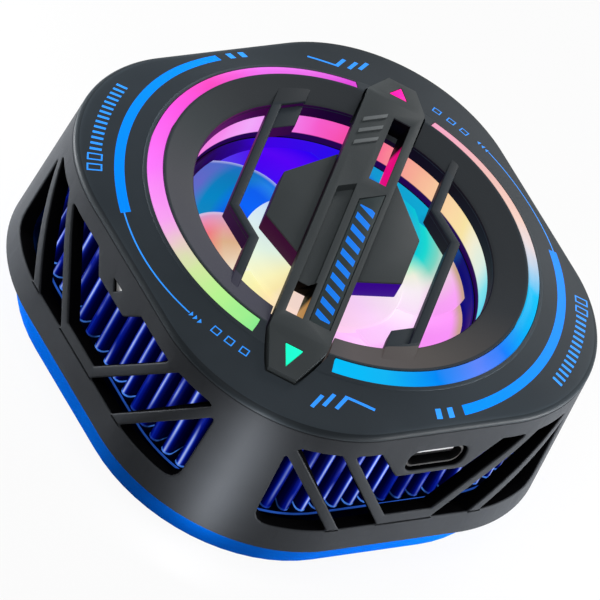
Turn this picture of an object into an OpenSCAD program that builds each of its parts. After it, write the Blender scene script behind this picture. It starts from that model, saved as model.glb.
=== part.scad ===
// Cooler for the back of a phone: a square body with round corners, a lit fan under a
// bridged inlet, pleated fins behind four vented sides and a cold plate underneath.
// Sizes are in millimetres, +Z is up and the origin is the centre of the contact face.

/* [Body] */
// Width across the flats at the seam between cover and housing
body_w = 66; // [64:0.5:72]
// Plan radius of the corners at the seam
corner_r = 22.5; // [21:0.5:25]
// How far each side flares out from the seam down to the rim
flare = 0.9; // [0.3:0.1:1.5]
// Wall of the housing
wall = 2; // [1.6:0.1:2.4]
// Contact face below the lower edge of the base band
foot_h = 0.4; // [0.2:0.1:0.6]
// Height of the base frame's rim
base_h = 6; // [5.6:0.1:6.4]
// Height of the housing from the base frame to the seam
housing_h = 20.7; // [20:0.1:23]
// Inset of the base band's lower edge from the seam
band_inset = 2.1; // [1.6:0.1:2.6]
// How much rounder the corners of the base band's lower edge are
band_round = 1.9; // [1:0.1:2.4]
// Overhang of the base band's upper edge past the seam
band_reach = 0.2; // [0:0.1:0.3]

/* [Cover] */
// Upright edge of the cover above the seam
cover_edge = 0.8; // [0.4:0.1:1.2]
// Rise of the cover from the seam to the light ring
dome_rise = 3.05; // [2.8:0.05:3.6]
// Rise across the sloping light ring
ring_rise = 0.85; // [0.5:0.05:1.1]
// Drop of the bezel from the light ring to the inlet
bezel_drop = 0.9; // [0.6:0.05:1.1]
// Shell thickness of the cover
cover_t = 1.8; // [1.5:0.1:2]
// Height of the inlet's upright wall
lip_h = 2; // [1.8:0.1:2.2]
// Inset of the light ring's inner edge from the seam
ring_inset = 7.4; // [7:0.1:7.8]
// Width of the light ring
ring_w = 2; // [1.6:0.1:2.2]
// Angle between the bar's axis and each end of a light arc
ring_gap = 12; // [11:1:18]
// Width of the bezel between the light ring and the inlet
bezel_w = 4.6; // [4.3:0.1:5]

/* [Bridge bar] */
// Turn of the bar from the X axis
bar_turn = 45; // [40:1:50]
// Width of the bar
bar_w = 8.3; // [7.6:0.1:9]
// Width of each nose at its end
nose_w = 4; // [3:0.1:5]
// Reach of each nose past the light ring
nose_reach = 3.6; // [2.6:0.1:4]
// Distance from the light ring's inner edge to the bar's flat top
flat_inset = 0.85; // [0.6:0.05:1.2]
// Height of the bar's flat top above the light ring
bar_rise = 0.7; // [0.4:0.1:1]
// Height of a nose's end above the bar's underside
nose_h = 1.1; // [0.9:0.1:1.3]
// Length of the front window
window_front = 7.6; // [6:0.1:8]
// Length of the rear window
window_rear = 13.2; // [12:0.1:13.4]
// Distance from the end of the flat top to both windows
window_margin = 2.65; // [2.4:0.05:3]
// Width of both windows
window_w = 2.5; // [2:0.1:2.8]
// Depth of the channel beside the inlay
channel_d = 1.2; // [0.8:0.1:1.6]
// Width of the inlay
plate_w = 3.1; // [2.6:0.1:3.2]
// Thickness of the inlay
plate_t = 0.4; // [0.3:0.05:0.6]
// Width of an arrow lens
lens_w = 2.7; // [2:0.1:3]
// Length of an arrow lens
lens_l = 3.2; // [2.6:0.1:3.4]

/* [Hub plate and guard bars] */
// Width of the hub plate across the bar
hub_w = 19.8; // [18:0.2:22]
// Length of the hub plate's straight sides
hub_side = 9.3; // [8:0.1:10]
// Drop of the hub plate's top below the bar's top
hub_drop = 1.9; // [1.6:0.1:2.2]
// Height of the hub plate
hub_h = 2.8; // [2.4:0.1:3]
// Width of a guard bar
guard_w = 1.3; // [1:0.1:1.6]
// Height of a guard bar
guard_h = 2.7; // [2.4:0.1:2.8]
// Distance from the inlet's edge to a guard bar's outer run
guard_inset = 6.75; // [6:0.05:7.2]
// Step from the outer to the inner run of a guard bar
guard_step = 4; // [3.2:0.1:4.4]
// Distance of the kink from the centre
guard_kink = 6.6; // [5:0.1:8]

/* [Side vents] */
// Distance from a vent's end to the plane of the next side
vent_margin = 10.5; // [10:0.25:12]
// Height of a vent's sill above the base frame
vent_sill = 3.9; // [3.6:0.1:4.4]
// Distance of a vent's head below the seam
vent_head = 2.8; // [2.6:0.1:3.2]
// Radius of a vent's corners
vent_r = 2; // [1:0.1:3]
// Width of a slat along the side
slat_w = 1.9; // [1.6:0.1:2.2]
// Lean of a slat: shift along the side per unit of height
slat_lean = 0.82; // [0.7:0.01:0.9]
// Foot of the inner slats from the middle of the side
slat_in = 3.3; // [3:0.1:3.8]
// Distance between the feet of neighbouring slats
slat_pitch = 8; // [7.4:0.1:8.4]
// Height of the bridge between the inner slats' feet
slat_foot = 1.7; // [1.2:0.1:2]
// Height of the tab with the USB slot
usb_tab_h = 4.8; // [4.4:0.1:5]
// Height of the tab on the other sides
tab_h = 2.9; // [2.6:0.1:3.2]
// Width of the status light
status_w = 2.4; // [1.6:0.1:2.8]
// Height of the status light
status_h = 1.5; // [1:0.1:1.8]

/* [Fins] */
// Distance of the fins behind the seam
fin_inset = 3.9; // [3.7:0.1:4.2]
// How much tighter than the body's the fin band's corners are
fin_tighter = 4.5; // [4:0.1:6]
// Depth of the pleats
pleat_d = 5; // [4:0.1:5.2]
// Pitch of the pleats
pleat_pitch = 2.6; // [2.4:0.1:3.4]
// Sheet thickness of the fins
fin_t = 0.4; // [0.3:0.05:0.6]
// Thickness of the heat sink's plate
sink_t = 2.2; // [2:0.1:2.6]

/* [Fan] */
// Number of blades
blades = 8; // [6:1:9]
// Radius of the rotor's hub
hub_r = 11.3; // [10.4:0.1:11.8]
// Angle that one blade covers
blade_span = 55; // [50:1:60]
// Sweep of a blade from root to tip
blade_sweep = 24; // [12:1:32]
// Turn of the rotor at rest
blade_phase = 41; // [0:1:44]
// Rise of a blade from trailing to leading edge
blade_rise = 2.6; // [2:0.1:3]
// Thickness of a blade
blade_t = 0.9; // [0.7:0.1:1.2]
// Height of the rotor
rotor_h = 8.2; // [8:0.1:8.4]
// Gap between the blade tips and the duct
tip_gap = 0.6; // [0.4:0.1:0.8]
// Wall of the duct
duct_t = 1.2; // [1:0.1:1.3]
// Height of the duct
duct_h = 8.3; // [7:0.1:9]
// Thickness of the glow ring
glow_t = 1.4; // [1:0.1:1.4]
// Diameter of the shaft
shaft_d = 1.5; // [1.2:0.1:1.8]
// Outer diameter of the bearing bush
bush_d = 3.2; // [2.8:0.1:3.4]
// Outer diameter of the bearing tube
tube_d = 5.2; // [4.8:0.1:5.4]

/* [Cold side] */
// Width of the ledge under the cold plate's flange
flange_w = 3.2; // [2.6:0.1:4]
// Gap between the cold plate's flange and the magnets
flange_gap = 1.6; // [1.4:0.1:2]
// Thickness of the base frame's floor
floor_t = 1.6; // [1.5:0.1:1.8]
// Thickness of the cold plate's flange
flange_t = 1.2; // [1:0.1:1.4]
// Width of the foam at the corners of the thermoelectric module
foam_w = 0.7; // [0.6:0.1:2]
// Thickness of the thermoelectric module
module_t = 3.2; // [3:0.1:3.6]
// Inset of the contact pad from the seam
pad_inset = 4.8; // [4.6:0.1:5.4]
// Thickness of the contact pad
pad_t = 1.2; // [1:0.1:1.3]
// Rim of the contact pad outside the magnets
pad_rim = 1.2; // [1:0.1:1.6]
// Width of the magnets
magnet_w = 4; // [3:0.1:4]
// Thickness of the magnets
magnet_t = 1.8; // [1.4:0.1:2]
// Number of magnets
magnet_count = 16; // [12:1:18]
// Thickness of the steel shield
shield_t = 0.5; // [0.3:0.1:0.6]

/* [USB-C inlet] */
// Width of the receptacle's shell
usb_w = 8.94; // [8.9:0.01:9]
// Height of the receptacle's shell
usb_h = 3.26; // [3.2:0.01:3.3]
// Length of the receptacle's shell
usb_l = 7.4; // [6.5:0.1:7.6]
// Centre of the receptacle below the seam
usb_drop = 5.05; // [5:0.05:5.2]
// Thickness of the control board
board_t = 1.2; // [1:0.1:1.4]

/* [Clearances] */
// Side gap of a piece that is let into another
seat_gap = 0.1; // [0.05:0.01:0.15]
// Shadow gap round the bridge bar
bar_gap = 0.3; // [0.2:0.05:0.4]
// Radial running gap of the shaft
run_gap = 0.03; // [0.02:0.01:0.05]
// Gap between moving and fixed pieces of the motor
motor_gap = 0.4; // [0.3:0.05:0.5]

/* [Hidden] */
$fn = 64;
skin = 0.02;
cut = 1;

half = body_w / 2;
half_rim = half + flare;
corner_rim = corner_r + flare;
z_part = base_h + housing_h;
z_ring_out = z_part + dome_rise;
z_ring_in = z_ring_out + ring_rise;
z_bezel = z_ring_in - bezel_drop;
z_collar = z_bezel - lip_h;
ring_r = half - ring_inset;
ring_out = ring_r + ring_w;
inlet_r = ring_r - bezel_w;
ring_ledge = 0.35;
z_ring_ledge = z_ring_out - 0.9;
collar_w = 0.3;
collar_drop = 0.25;
crest_w = 0.2;

bar_l = 2 * (ring_out + nose_reach);
bar_flat = 2 * (ring_r - flat_inset);
bar_sink = 1.4;
z_bar = z_ring_in + bar_rise;
z_bar_low = z_bezel - bar_sink;
window_end = bar_flat / 2 - window_margin;
window_side = 0.45;
plate_side = 0.3;
plate_far = 4.4;
plate_sink = 0.1;
channel_side = 0.7;
channel_w = 2.2;
shoulder = 0.85;
lens_start = 2.15;
lens_floor = 0.6;
rib_h = 0.25;

hub_front = 4.6;
hub_rear = 8.7;
hub_front_in = 1.05;
hub_rear_in = 0.25;
hub_roof = 0.7;
z_hub = z_bar - hub_drop;
guard_rise = 0.5;
z_guard = z_bezel + guard_rise;
guard_out = inlet_r - guard_inset;
guard_in = guard_out - guard_step;
guard_plate = 5.8;
guard_stair = 4;
guard_stair_h = 0.8;

vent_w = body_w - 2 * vent_margin;
slat_out = slat_in + slat_pitch;
z_sill = base_h + vent_sill;
z_head = z_part - vent_head;
tab_lean = 0.9;
tab_spread = 0.6;
status_drop = 0.5;
status_gap = 0.05;
z_usb = z_part - usb_drop;
z_board = z_usb + usb_h / 2;
board_top = z_board + board_t;

z_floor = foot_h + floor_t;
z_module = z_floor + flange_t;
z_sink = z_module + module_t;
z_fins = z_sink + sink_t;
fin_half = half - fin_inset;
fin_corner = corner_r - fin_tighter;
sink_rim = 0.4;
fin_top_gap = 0.2;
pad_r = half - pad_inset;
magnet_r = pad_r - pad_rim - magnet_w;
flange_r = magnet_r - flange_gap;
cold_r = flange_r - flange_w;
pocket_wall = 0.6;
foam_gap = 0.2;
foam_r = magnet_r - pocket_wall - foam_gap;
module_w = 2 * ((foam_r - foam_w) / sqrt(2) - foam_gap);

duct_lip = 0.2;
duct_r = inlet_r - duct_lip;
duct_out = duct_r + duct_t;
glow_r = inlet_r + duct_lip;
glow_out = glow_r + glow_t;
z_glow = min(z_collar, z_guard - guard_h) - seat_gap;
board_gap = 0.3;
board_hole = glow_out + board_gap;
tip_r = duct_r - tip_gap;
z_rotor_top = z_board - motor_gap;
z_rotor = z_rotor_top - rotor_h;
spider_t = 1.4;
spider_gap = 1.6;
z_spider = z_rotor - spider_gap - spider_t;
z_motor = z_spider + spider_t;
hub_wall = 0.7;
hub_top_t = 1.2;
z_hub_in = z_rotor_top - hub_top_t;
boss_h = 2;
tube_top = z_hub_in - boss_h;
tube_floor = 0.4;
fit_gap = 0.02;
yoke_out = hub_r - hub_wall - fit_gap;
yoke_t = 0.5;
magnet_out = yoke_out - yoke_t - fit_gap;
rotor_magnet_t = 1.2;
rotor_magnet_h = 5;
stator_r = magnet_out - rotor_magnet_t - motor_gap;
teeth = 6;
tooth_w = 1.4;
coil_w = 2.6;
coil_over = 0.7;
stator_t = 3.4;
z_stator = z_rotor + 2 * motor_gap;

span_count = 6;
chord_count = 8;
blade_foot = 4.6;
blade_edge = 0.35;
blade_camber = 0.12;

bar_screw_x = bar_flat / 2 - 0.15;
screw_r = 0.75;
screw_hole_r = 0.8;
screw_head_r = 1.5;
screw_head_h = 1;
screw_sink = 0.3;
screw_bite = 1.6;
screw_end_gap = 0.2;
post_r = 2.4;
post_gap = 0.85;
post_place = (pad_r + screw_head_r + post_gap) / sqrt(2);
boss_wall = 0.3;
z_boss = z_collar - 1.5;
lug_w = 8;
lug_t = 1.2;
lug_h = 2;
lug_gap = 0.2;
ledge_w = 1.2;
ledge_t = 1.2;
ledge_root = 0.3;
usb_gap = 0.2;
usb_room = 1;
usb_skin = 0.3;
usb_recess = 0.4;
usb_front = half - usb_recess;
tongue_w = 6.7;
tongue_t = 0.7;
tongue_gap = 0.05;

// Square with round corners, by half its side
module rounded_square(half_side, r) {
  flat = half_side - r;
  square([2 * flat, 2 * half_side], center = true);
  square([2 * half_side, 2 * flat], center = true);
  for (x = [-flat, flat], y = [-flat, flat])
    translate([x, y])
      circle(r);
}

// Rectangle with round corners
module rounded_rect(w, h, r) {
  square([w - 2 * r, h], center = true);
  square([w, h - 2 * r], center = true);
  for (x = [r - w / 2, w / 2 - r], y = [r - h / 2, h / 2 - r])
    translate([x, y])
      circle(r);
}

// Slab with round corners between two heights
module slab(half_side, r, z_low, z_high) {
  translate([0, 0, z_low])
    linear_extrude(z_high - z_low)
      rounded_square(half_side, r);
}

// Smooth skin between two rounded squares at two heights
module loft(half_low, r_low, z_low, half_high, r_high, z_high) {
  hull() {
    slab(half_low, r_low, z_low, z_low + skin);
    slab(half_high, r_high, z_high - skin, z_high);
  }
}

// Ring with a rectangular section
module ring(r_in, r_out, z_low, z_high) {
  translate([0, 0, z_low])
    difference() {
      cylinder(r = r_out, h = z_high - z_low);
      translate([0, 0, -cut])
        cylinder(r = r_in, h = z_high - z_low + 2 * cut);
    }
}

// Turns its children into the bar's own frame: X runs along the bar
module along_bar() {
  rotate(bar_turn)
    children();
}

// Extrudes a plan outline between two heights
module rise(z_low, z_high) {
  translate([0, 0, z_low])
    linear_extrude(z_high - z_low)
      children();
}

// Places its children against each side of the body
module each_side() {
  for (turn = [0 : 90 : 270])
    rotate(turn)
      children();
}

// Section of a light arc, with an allowance on its sides
module arc_section(gap) {
  slope = ring_rise / ring_w;
  inner = ring_r + gap;
  outer = ring_out - gap;
  polygon([
    [inner, z_ring_in - slope * gap],
    [outer, z_ring_out + slope * gap],
    [outer, z_ring_ledge],
    [outer - ring_ledge, z_ring_ledge],
    [outer - ring_ledge, z_collar],
    [inner + ring_ledge, z_collar],
    [inner + ring_ledge, z_ring_ledge],
    [inner, z_ring_ledge]]);
}

// One light arc, on the left (side 1) or the right (side -1) of the bar
module light_arc(side, gap) {
  trim = gap * 2;
  start = side > 0 ? ring_gap : 180 + ring_gap;
  along_bar()
    rotate(start + trim)
      rotate_extrude(angle = 180 - 2 * (ring_gap + trim))
        arc_section(gap);
}

// Space that a light arc needs in the cover, open above and below
module arc_groove(side) {
  start = side > 0 ? ring_gap : 180 + ring_gap;
  along_bar()
    rotate(start)
      rotate_extrude(angle = 180 - 2 * ring_gap) {
        translate([ring_r, z_ring_ledge])
          square([ring_w, z_bar - z_ring_ledge]);
        translate([ring_r + ring_ledge, z_collar - cut])
          square([ring_w - 2 * ring_ledge, z_ring_ledge - z_collar + 2 * cut]);
      }
}

// Plan of the bar: a strip with tapered noses
module bar_plan(grow) {
  bend = bar_flat / 2 + shoulder;
  end = bar_l / 2 + grow;
  w = bar_w / 2 + grow;
  nose = nose_w / 2 + grow;
  polygon([[-end, -nose], [-bend, -w], [bend, -w], [end, -nose],
    [end, nose], [bend, w], [-bend, w], [-end, nose]]);
}

// Solid of the bar before its windows: the plan cut to the side view
module bar_body() {
  end = bar_l / 2;
  z_nose = z_bar_low + nose_h;
  intersection() {
    rise(z_bar_low, z_bar)
      bar_plan(0);
    translate([0, bar_w, 0])
      rotate([90, 0, 0])
        linear_extrude(2 * bar_w)
          polygon([[-end, z_bar_low], [end, z_bar_low], [end, z_nose],
            [bar_flat / 2, z_bar], [-bar_flat / 2, z_bar], [-end, z_nose]]);
  }
}

// Outline of the inlay, slanted at its far end
module plate_outline(gap) {
  near = -window_end + plate_side + skin + gap;
  far = plate_far - gap;
  inner = -plate_side - gap;
  outer = -plate_side - plate_w + gap;
  polygon([[near, outer], [far + plate_w, outer], [far, inner], [near, inner]]);
}

// Outline of the channel beside the inlay
module channel_outline() {
  near = -window_end + window_front - skin;
  outer = channel_side + channel_w;
  far = plate_far + plate_side;
  polygon([[near, channel_side], [far + channel_w, channel_side], [far, outer], [near, outer]]);
}

// The two windows through the bar
module bar_windows() {
  translate([-window_end, window_side])
    square([window_front, window_w]);
  translate([window_end - window_rear, -window_side - window_w])
    square([window_rear, window_w]);
}

// Outline of an arrow lens that points away from the centre
module lens_outline(gap) {
  base = bar_flat / 2 + lens_start + gap;
  tip = base + lens_l - 3 * gap;
  polygon([[base, lens_w / 2 - gap], [base, gap - lens_w / 2], [tip, 0]]);
}

// Slanted ribs on the flat of the bar beside the rear window
module bar_ribs() {
  rib_w = 0.8;
  rib_pitch = 2.5;
  outer = window_side + window_w + plate_side;
  rib_l = outer - window_side;
  for (place = [1 : 3])
    translate([window_end - rib_l - rib_pitch * place + rib_w * 2, outer])
      rise(z_bar - rib_h, z_bar + rib_h)
        polygon([[0, 0], [rib_w, 0], [rib_w + rib_l, -rib_l], [rib_l, -rib_l]]);
}

module bridge_bar() {
  color("#3d4043")
    along_bar() {
      difference() {
        bar_body();
        rise(z_bar_low - cut, z_bar + cut)
          bar_windows();
        rise(z_bar - plate_t - plate_sink, z_bar + cut)
          plate_outline(0);
        rise(z_bar - channel_d, z_bar + cut)
          channel_outline();
        for (turn = [0, 180])
          rotate(turn) {
            rise(z_bar_low + lens_floor, z_bar + cut)
              lens_outline(0);
            translate([bar_screw_x, 0, z_bar_low - cut])
              cylinder(r = screw_hole_r, h = cut + screw_bite + screw_end_gap);
          }
      }
      bar_ribs();
    }
}

module name_plate() {
  color("#2f3338")
    along_bar()
      rise(z_bar - plate_t - plate_sink, z_bar - plate_sink)
        plate_outline(seat_gap);
}

module arrow_lens(turn) {
  along_bar()
    rotate(turn)
      intersection() {
        bar_body();
        rise(z_bar_low + lens_floor, z_bar)
          lens_outline(seat_gap);
      }
}

module arrow_lens_front() {
  color("#18e0b0")
    arrow_lens(180);
}

module arrow_lens_rear() {
  color("#ff2a9d")
    arrow_lens(0);
}

// Plan of the hub plate: a hexagon drawn out towards the rear, its ends hidden below the bar
module hub_outline() {
  w = hub_w / 2;
  side = hub_side / 2;
  front = -side - hub_front;
  rear = side + hub_rear;
  front_w = bar_w / 2 - hub_front_in;
  rear_w = bar_w / 2 - hub_rear_in;
  polygon([[front, front_w], [-side, w], [side, w], [rear, rear_w],
    [rear, -rear_w], [side, -w], [-side, -w], [front, -front_w]]);
}

module hub_plate() {
  hub_skirt = 1.6;
  color("#3d4043")
    along_bar()
      difference() {
        rise(z_hub - hub_h, z_hub)
          hub_outline();
        rise(z_bar_low, z_hub + cut)
          square([bar_l, bar_w + 2 * seat_gap], center = true);
        rise(z_hub - hub_h - cut, z_hub + cut)
          bar_windows();
        rise(z_hub - hub_h - cut, z_bar_low - hub_roof)
          scale(1 - 2 * hub_skirt / hub_w)
            hub_outline();
      }
}

// Plan of one guard bar: two straight runs joined by a kink at 45 degrees
module guard_plan() {
  mitre = guard_w / 2 * tan(22.5);
  kink_far = guard_kink + guard_out - guard_in;
  w = guard_w / 2;
  end = ring_r;
  polygon([[end, guard_out + w], [-guard_kink - mitre, guard_out + w],
    [-kink_far - mitre, guard_in + w], [-end, guard_in + w], [-end, guard_in - w],
    [mitre - kink_far, guard_in - w], [mitre - guard_kink, guard_out - w],
    [end, guard_out - w]]);
}

// One guard bar with the stepped plate at its wide end
module guard_bar() {
  plate_from = inlet_r - guard_plate;
  step_from = plate_from - guard_stair;
  inner = guard_in + guard_w / 2;
  rise(z_guard - guard_h, z_guard)
    guard_plan();
  rise(z_guard - guard_h, z_guard)
    translate([plate_from, inner])
      square([ring_r - plate_from, guard_out + guard_w / 2 - inner]);
  rise(z_guard - guard_h, z_guard - guard_stair_h)
    translate([step_from, inner])
      square([ring_r - step_from, guard_out - inner]);
}

// Domed skin of the cover
module cover_skin() {
  difference() {
    hull() {
      slab(half, corner_r, z_part, z_part + cover_edge);
      ring_top(ring_out + collar_w, z_ring_out - collar_drop);
    }
    hull() {
      slab(half - wall, corner_r - wall, z_part - cut, z_part + cover_edge / 4);
      ring_top(ring_out - cover_t / 4, z_ring_out - cover_t);
    }
    translate([0, 0, z_part])
      cylinder(r = ring_out - collar_w, h = dome_rise + cut);
  }
}

// Thin disc that ends a dome
module ring_top(r, z) {
  translate([0, 0, z - skin])
    cylinder(r = r, h = skin);
}

// Collar inside the dome: light ring seat, sloping bezel and upright inlet wall
module cover_collar() {
  slope = ring_rise / ring_w;
  root = ring_out + collar_w + crest_w;
  crest = ring_r - crest_w;
  rotate_extrude()
    polygon([[inlet_r, z_collar], [root, z_collar],
      [root, z_ring_out - slope * (root - ring_out)],
      [crest, z_ring_in + slope * crest_w], [inlet_r, z_bezel]]);
}

// Snap lug that locates one moulding inside the housing wall
module lug(outer, z_low, z_high) {
  translate([-lug_w / 2, -outer, z_low])
    cube([lug_w, lug_t, z_high - z_low]);
}

module top_cover() {
  color("#3a3d40")
    difference() {
      union() {
        cover_skin();
        cover_collar();
        intersection() {
          along_bar()
            for (turn = [0, 180])
              rotate(turn)
                guard_bar();
          translate([0, 0, z_collar - cut])
            cylinder(r = ring_r - 1, h = lip_h + ring_rise + 2 * cut);
        }
        each_side()
          lug(half - wall - lug_gap, z_part - lug_h, z_part + cover_edge);
        along_bar()
          for (x = [-bar_screw_x, bar_screw_x])
            translate([x, 0, z_boss])
              cylinder(r = screw_head_r + boss_wall, h = z_bar_low - z_boss);
      }
      arc_groove(1);
      arc_groove(-1);
      along_bar() {
        rise(z_bar_low, z_bar + cut)
          bar_plan(bar_gap);
        for (x = [-bar_screw_x, bar_screw_x])
          translate([x, 0, z_boss - cut])
            cylinder(r = screw_hole_r, h = z_bar_low - z_boss + 2 * cut);
      }
    }
}

module light_ring_left() {
  color("#ff66d8")
    light_arc(1, seat_gap);
}

module light_ring_right() {
  color("#38b6ff")
    light_arc(-1, seat_gap);
}

module glow_ring() {
  color("#ff9ad5")
    ring(glow_r, glow_out, z_board, z_glow);
}

// Leaning slat, drawn past the sill and the head so that it joins the frame
module slat(side, foot) {
  z_low = z_sill - cut;
  z_high = z_head + cut;
  low = foot - slat_lean * cut;
  high = foot + slat_lean * (z_head - z_sill + cut);
  polygon([[side * (low - slat_w / 2), z_low], [side * (low + slat_w / 2), z_low],
    [side * (high + slat_w / 2), z_high], [side * (high - slat_w / 2), z_high]]);
}

// Tab that hangs from the head of a vent
module tab_shape(tab_height) {
  low = tab_height + tab_spread;
  high = low + tab_lean * (tab_height + cut);
  polygon([[-low, z_head - tab_height], [low, z_head - tab_height],
    [high, z_head + cut], [-high, z_head + cut]]);
}

// Open parts of one vent, in the plane of a side
module vent_shape(tab_height) {
  difference() {
    translate([0, (z_sill + z_head) / 2])
      rounded_rect(vent_w, z_head - z_sill, vent_r);
    for (side = [-1, 1], foot = [slat_in, slat_out])
      slat(side, foot);
    translate([-slat_in, z_sill - cut])
      square([2 * slat_in, slat_foot + cut]);
    tab_shape(tab_height);
  }
}

// Extrudes a shape drawn in the plane of the front side through its wall
module through_front(depth) {
  rotate([90, 0, 0])
    translate([0, 0, half_rim + cut - depth])
      linear_extrude(depth)
        children();
}

// Outline of the USB-C shell, grown or shrunk all round
module usb_outline(grow) {
  rounded_rect(usb_w + 2 * grow, usb_h + 2 * grow, usb_h / 2 + grow - skin);
}

// Outline of the status light: a triangle that points down
module status_outline(gap) {
  top = z_head - status_drop - gap;
  polygon([[-status_w / 2 + 2 * gap, top], [status_w / 2 - 2 * gap, top],
    [0, top - status_h + 3 * gap]]);
}

module housing() {
  vent_depth = 10;
  color("#4a4d50") {
    difference() {
      loft(half_rim, corner_rim, base_h, half, corner_r, z_part);
      loft(half_rim - wall, corner_rim - wall, base_h - skin,
        half - wall, corner_r - wall, z_part + skin);
      for (turn = [0 : 90 : 270])
        rotate(turn)
          through_front(vent_depth)
            vent_shape(turn == 0 ? usb_tab_h : tab_h);
      through_front(vent_depth)
        translate([0, z_usb])
          usb_outline(usb_gap);
      rotate(-90)
        through_front(vent_depth)
          status_outline(0);
    }
    board_ledge();
  }
}

// Ledge inside the housing that carries the control board, open at the USB receptacle
module board_ledge() {
  outer = half - wall + ledge_root;
  difference() {
    slab(outer, corner_r - wall + ledge_root, z_board - ledge_t, z_board);
    slab(half - wall - ledge_w, corner_r - wall - ledge_w, z_board - ledge_t - cut, z_board + cut);
    translate([-usb_w / 2 - usb_room, -half, z_board - ledge_t - cut])
      cube([usb_w + 2 * usb_room, half, ledge_t + 2 * cut]);
  }
}

module status_lens() {
  color("white")
    rotate(-90)
      rotate([90, 0, 0])
        translate([0, 0, half - wall + ledge_root])
          linear_extrude(wall - 2 * ledge_root)
            status_outline(status_gap);
}

module control_board() {
  color("#1d5e3a")
    difference() {
      slab(half - wall - board_gap, corner_r - wall - board_gap, z_board, board_top);
      translate([0, 0, z_board - cut])
        cylinder(r = board_hole, h = board_t + 2 * cut);
    }
}

module led_chips() {
  led_count = 10;
  led_size = [1.6, 2, 0.8];
  led_margin = 9;
  first = ring_gap + led_margin;
  color("white")
    along_bar()
      for (side = [0, 180], place = [0 : led_count - 1])
        rotate(side + first + place * (180 - 2 * first) / (led_count - 1))
          translate([ring_r + ring_w / 2 - led_size.x / 2, -led_size.y / 2, board_top])
            cube(led_size);
}

module usb_shell() {
  color("silver")
    rotate([90, 0, 0])
      translate([0, z_usb, usb_front - usb_l])
        difference() {
          linear_extrude(usb_l)
            usb_outline(0);
          translate([0, 0, usb_skin])
            linear_extrude(usb_l)
              usb_outline(-usb_skin);
        }
}

module usb_tongue() {
  block_l = 1.6;
  tongue_l = usb_l - usb_skin - tongue_t;
  color("#202020")
    rotate([90, 0, 0])
      translate([0, z_usb, usb_front - usb_l + usb_skin]) {
        linear_extrude(block_l)
          usb_outline(-usb_skin - tongue_gap);
        linear_extrude(tongue_l)
          square([tongue_w, tongue_t], center = true);
      }
}

// Duct ring on four legs, with the spider that carries the motor
module fan_frame() {
  leg_w = 3;
  leg_inset = 0.2;
  spoke_w = 2;
  spoke_root = 2;
  spoke_drop = 0.1;
  color("#26282b") {
    ring(duct_r, duct_out, z_board - duct_h, z_board);
    difference() {
      union() {
        each_side()
          rotate(45) {
            translate([duct_r + leg_inset, -leg_w / 2, z_fins])
              cube([duct_t - 1.5 * leg_inset, leg_w, z_board - duct_h - z_fins + cut]);
            translate([hub_r - spoke_root, -spoke_w / 2, z_spider + spoke_drop])
              cube([duct_r + duct_t / 2 - hub_r + spoke_root, spoke_w, spider_t - 2 * spoke_drop]);
          }
        translate([0, 0, z_spider])
          cylinder(r = hub_r - motor_gap, h = spider_t);
        translate([0, 0, z_spider])
          cylinder(d = tube_d, h = tube_top - z_spider);
      }
      translate([0, 0, z_motor - tube_floor])
        cylinder(d = bush_d, h = tube_top);
    }
  }
}

module bearing_bush() {
  color("#b08a4e")
    ring(shaft_d / 2 + run_gap, bush_d / 2 - fit_gap, z_motor - tube_floor, tube_top - run_gap);
}

module motor_board() {
  motor_board_t = 0.8;
  color("#1d5e3a")
    ring(tube_d / 2 + seat_gap, stator_r, z_motor, z_motor + motor_board_t);
}

module stator_core() {
  core_w = 1;
  color("#8d9094")
    translate([0, 0, z_stator])
      linear_extrude(stator_t)
        difference() {
          union() {
            circle(r = tube_d / 2 + core_w);
            intersection() {
              circle(r = stator_r);
              for (turn = [0 : 360 / teeth : 359])
                rotate(turn)
                  translate([0, -tooth_w / 2])
                    square([2 * stator_r, tooth_w]);
            }
          }
          circle(r = tube_d / 2 + fit_gap);
        }
}

module stator_coils() {
  coil_start = 0.32;
  coil_share = 0.47;
  room = stator_r - tube_d / 2;
  from = tube_d / 2 + coil_start * room;
  coil_l = coil_share * room;
  color("#b5651d")
    for (turn = [0 : 360 / teeth : 359])
      rotate(turn)
        translate([from, 0, z_stator - coil_over])
          difference() {
            translate([0, -coil_w / 2, 0])
              cube([coil_l, coil_w, stator_t + 2 * coil_over]);
            translate([-cut, -tooth_w / 2 - fit_gap, coil_over - fit_gap])
              cube([coil_l + 2 * cut, tooth_w + 2 * fit_gap, stator_t + 2 * fit_gap]);
          }
}

// Point on a blade at a share of its span and of its chord, on the lower or upper face
function blade_point(share, chord, upper) =
  let (
    root = hub_r - hub_wall / 2,
    r = root + share * (tip_r - root),
    angle = blade_sweep * share * share + blade_span * chord,
    belly = sin(180 * chord),
    thin = blade_t * (blade_edge + (1 - blade_edge) * belly),
    z = z_rotor + blade_foot + blade_rise * (1 - chord + blade_camber * belly) + (upper ? thin : 0))
  [r * cos(angle), r * sin(angle), z];

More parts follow.
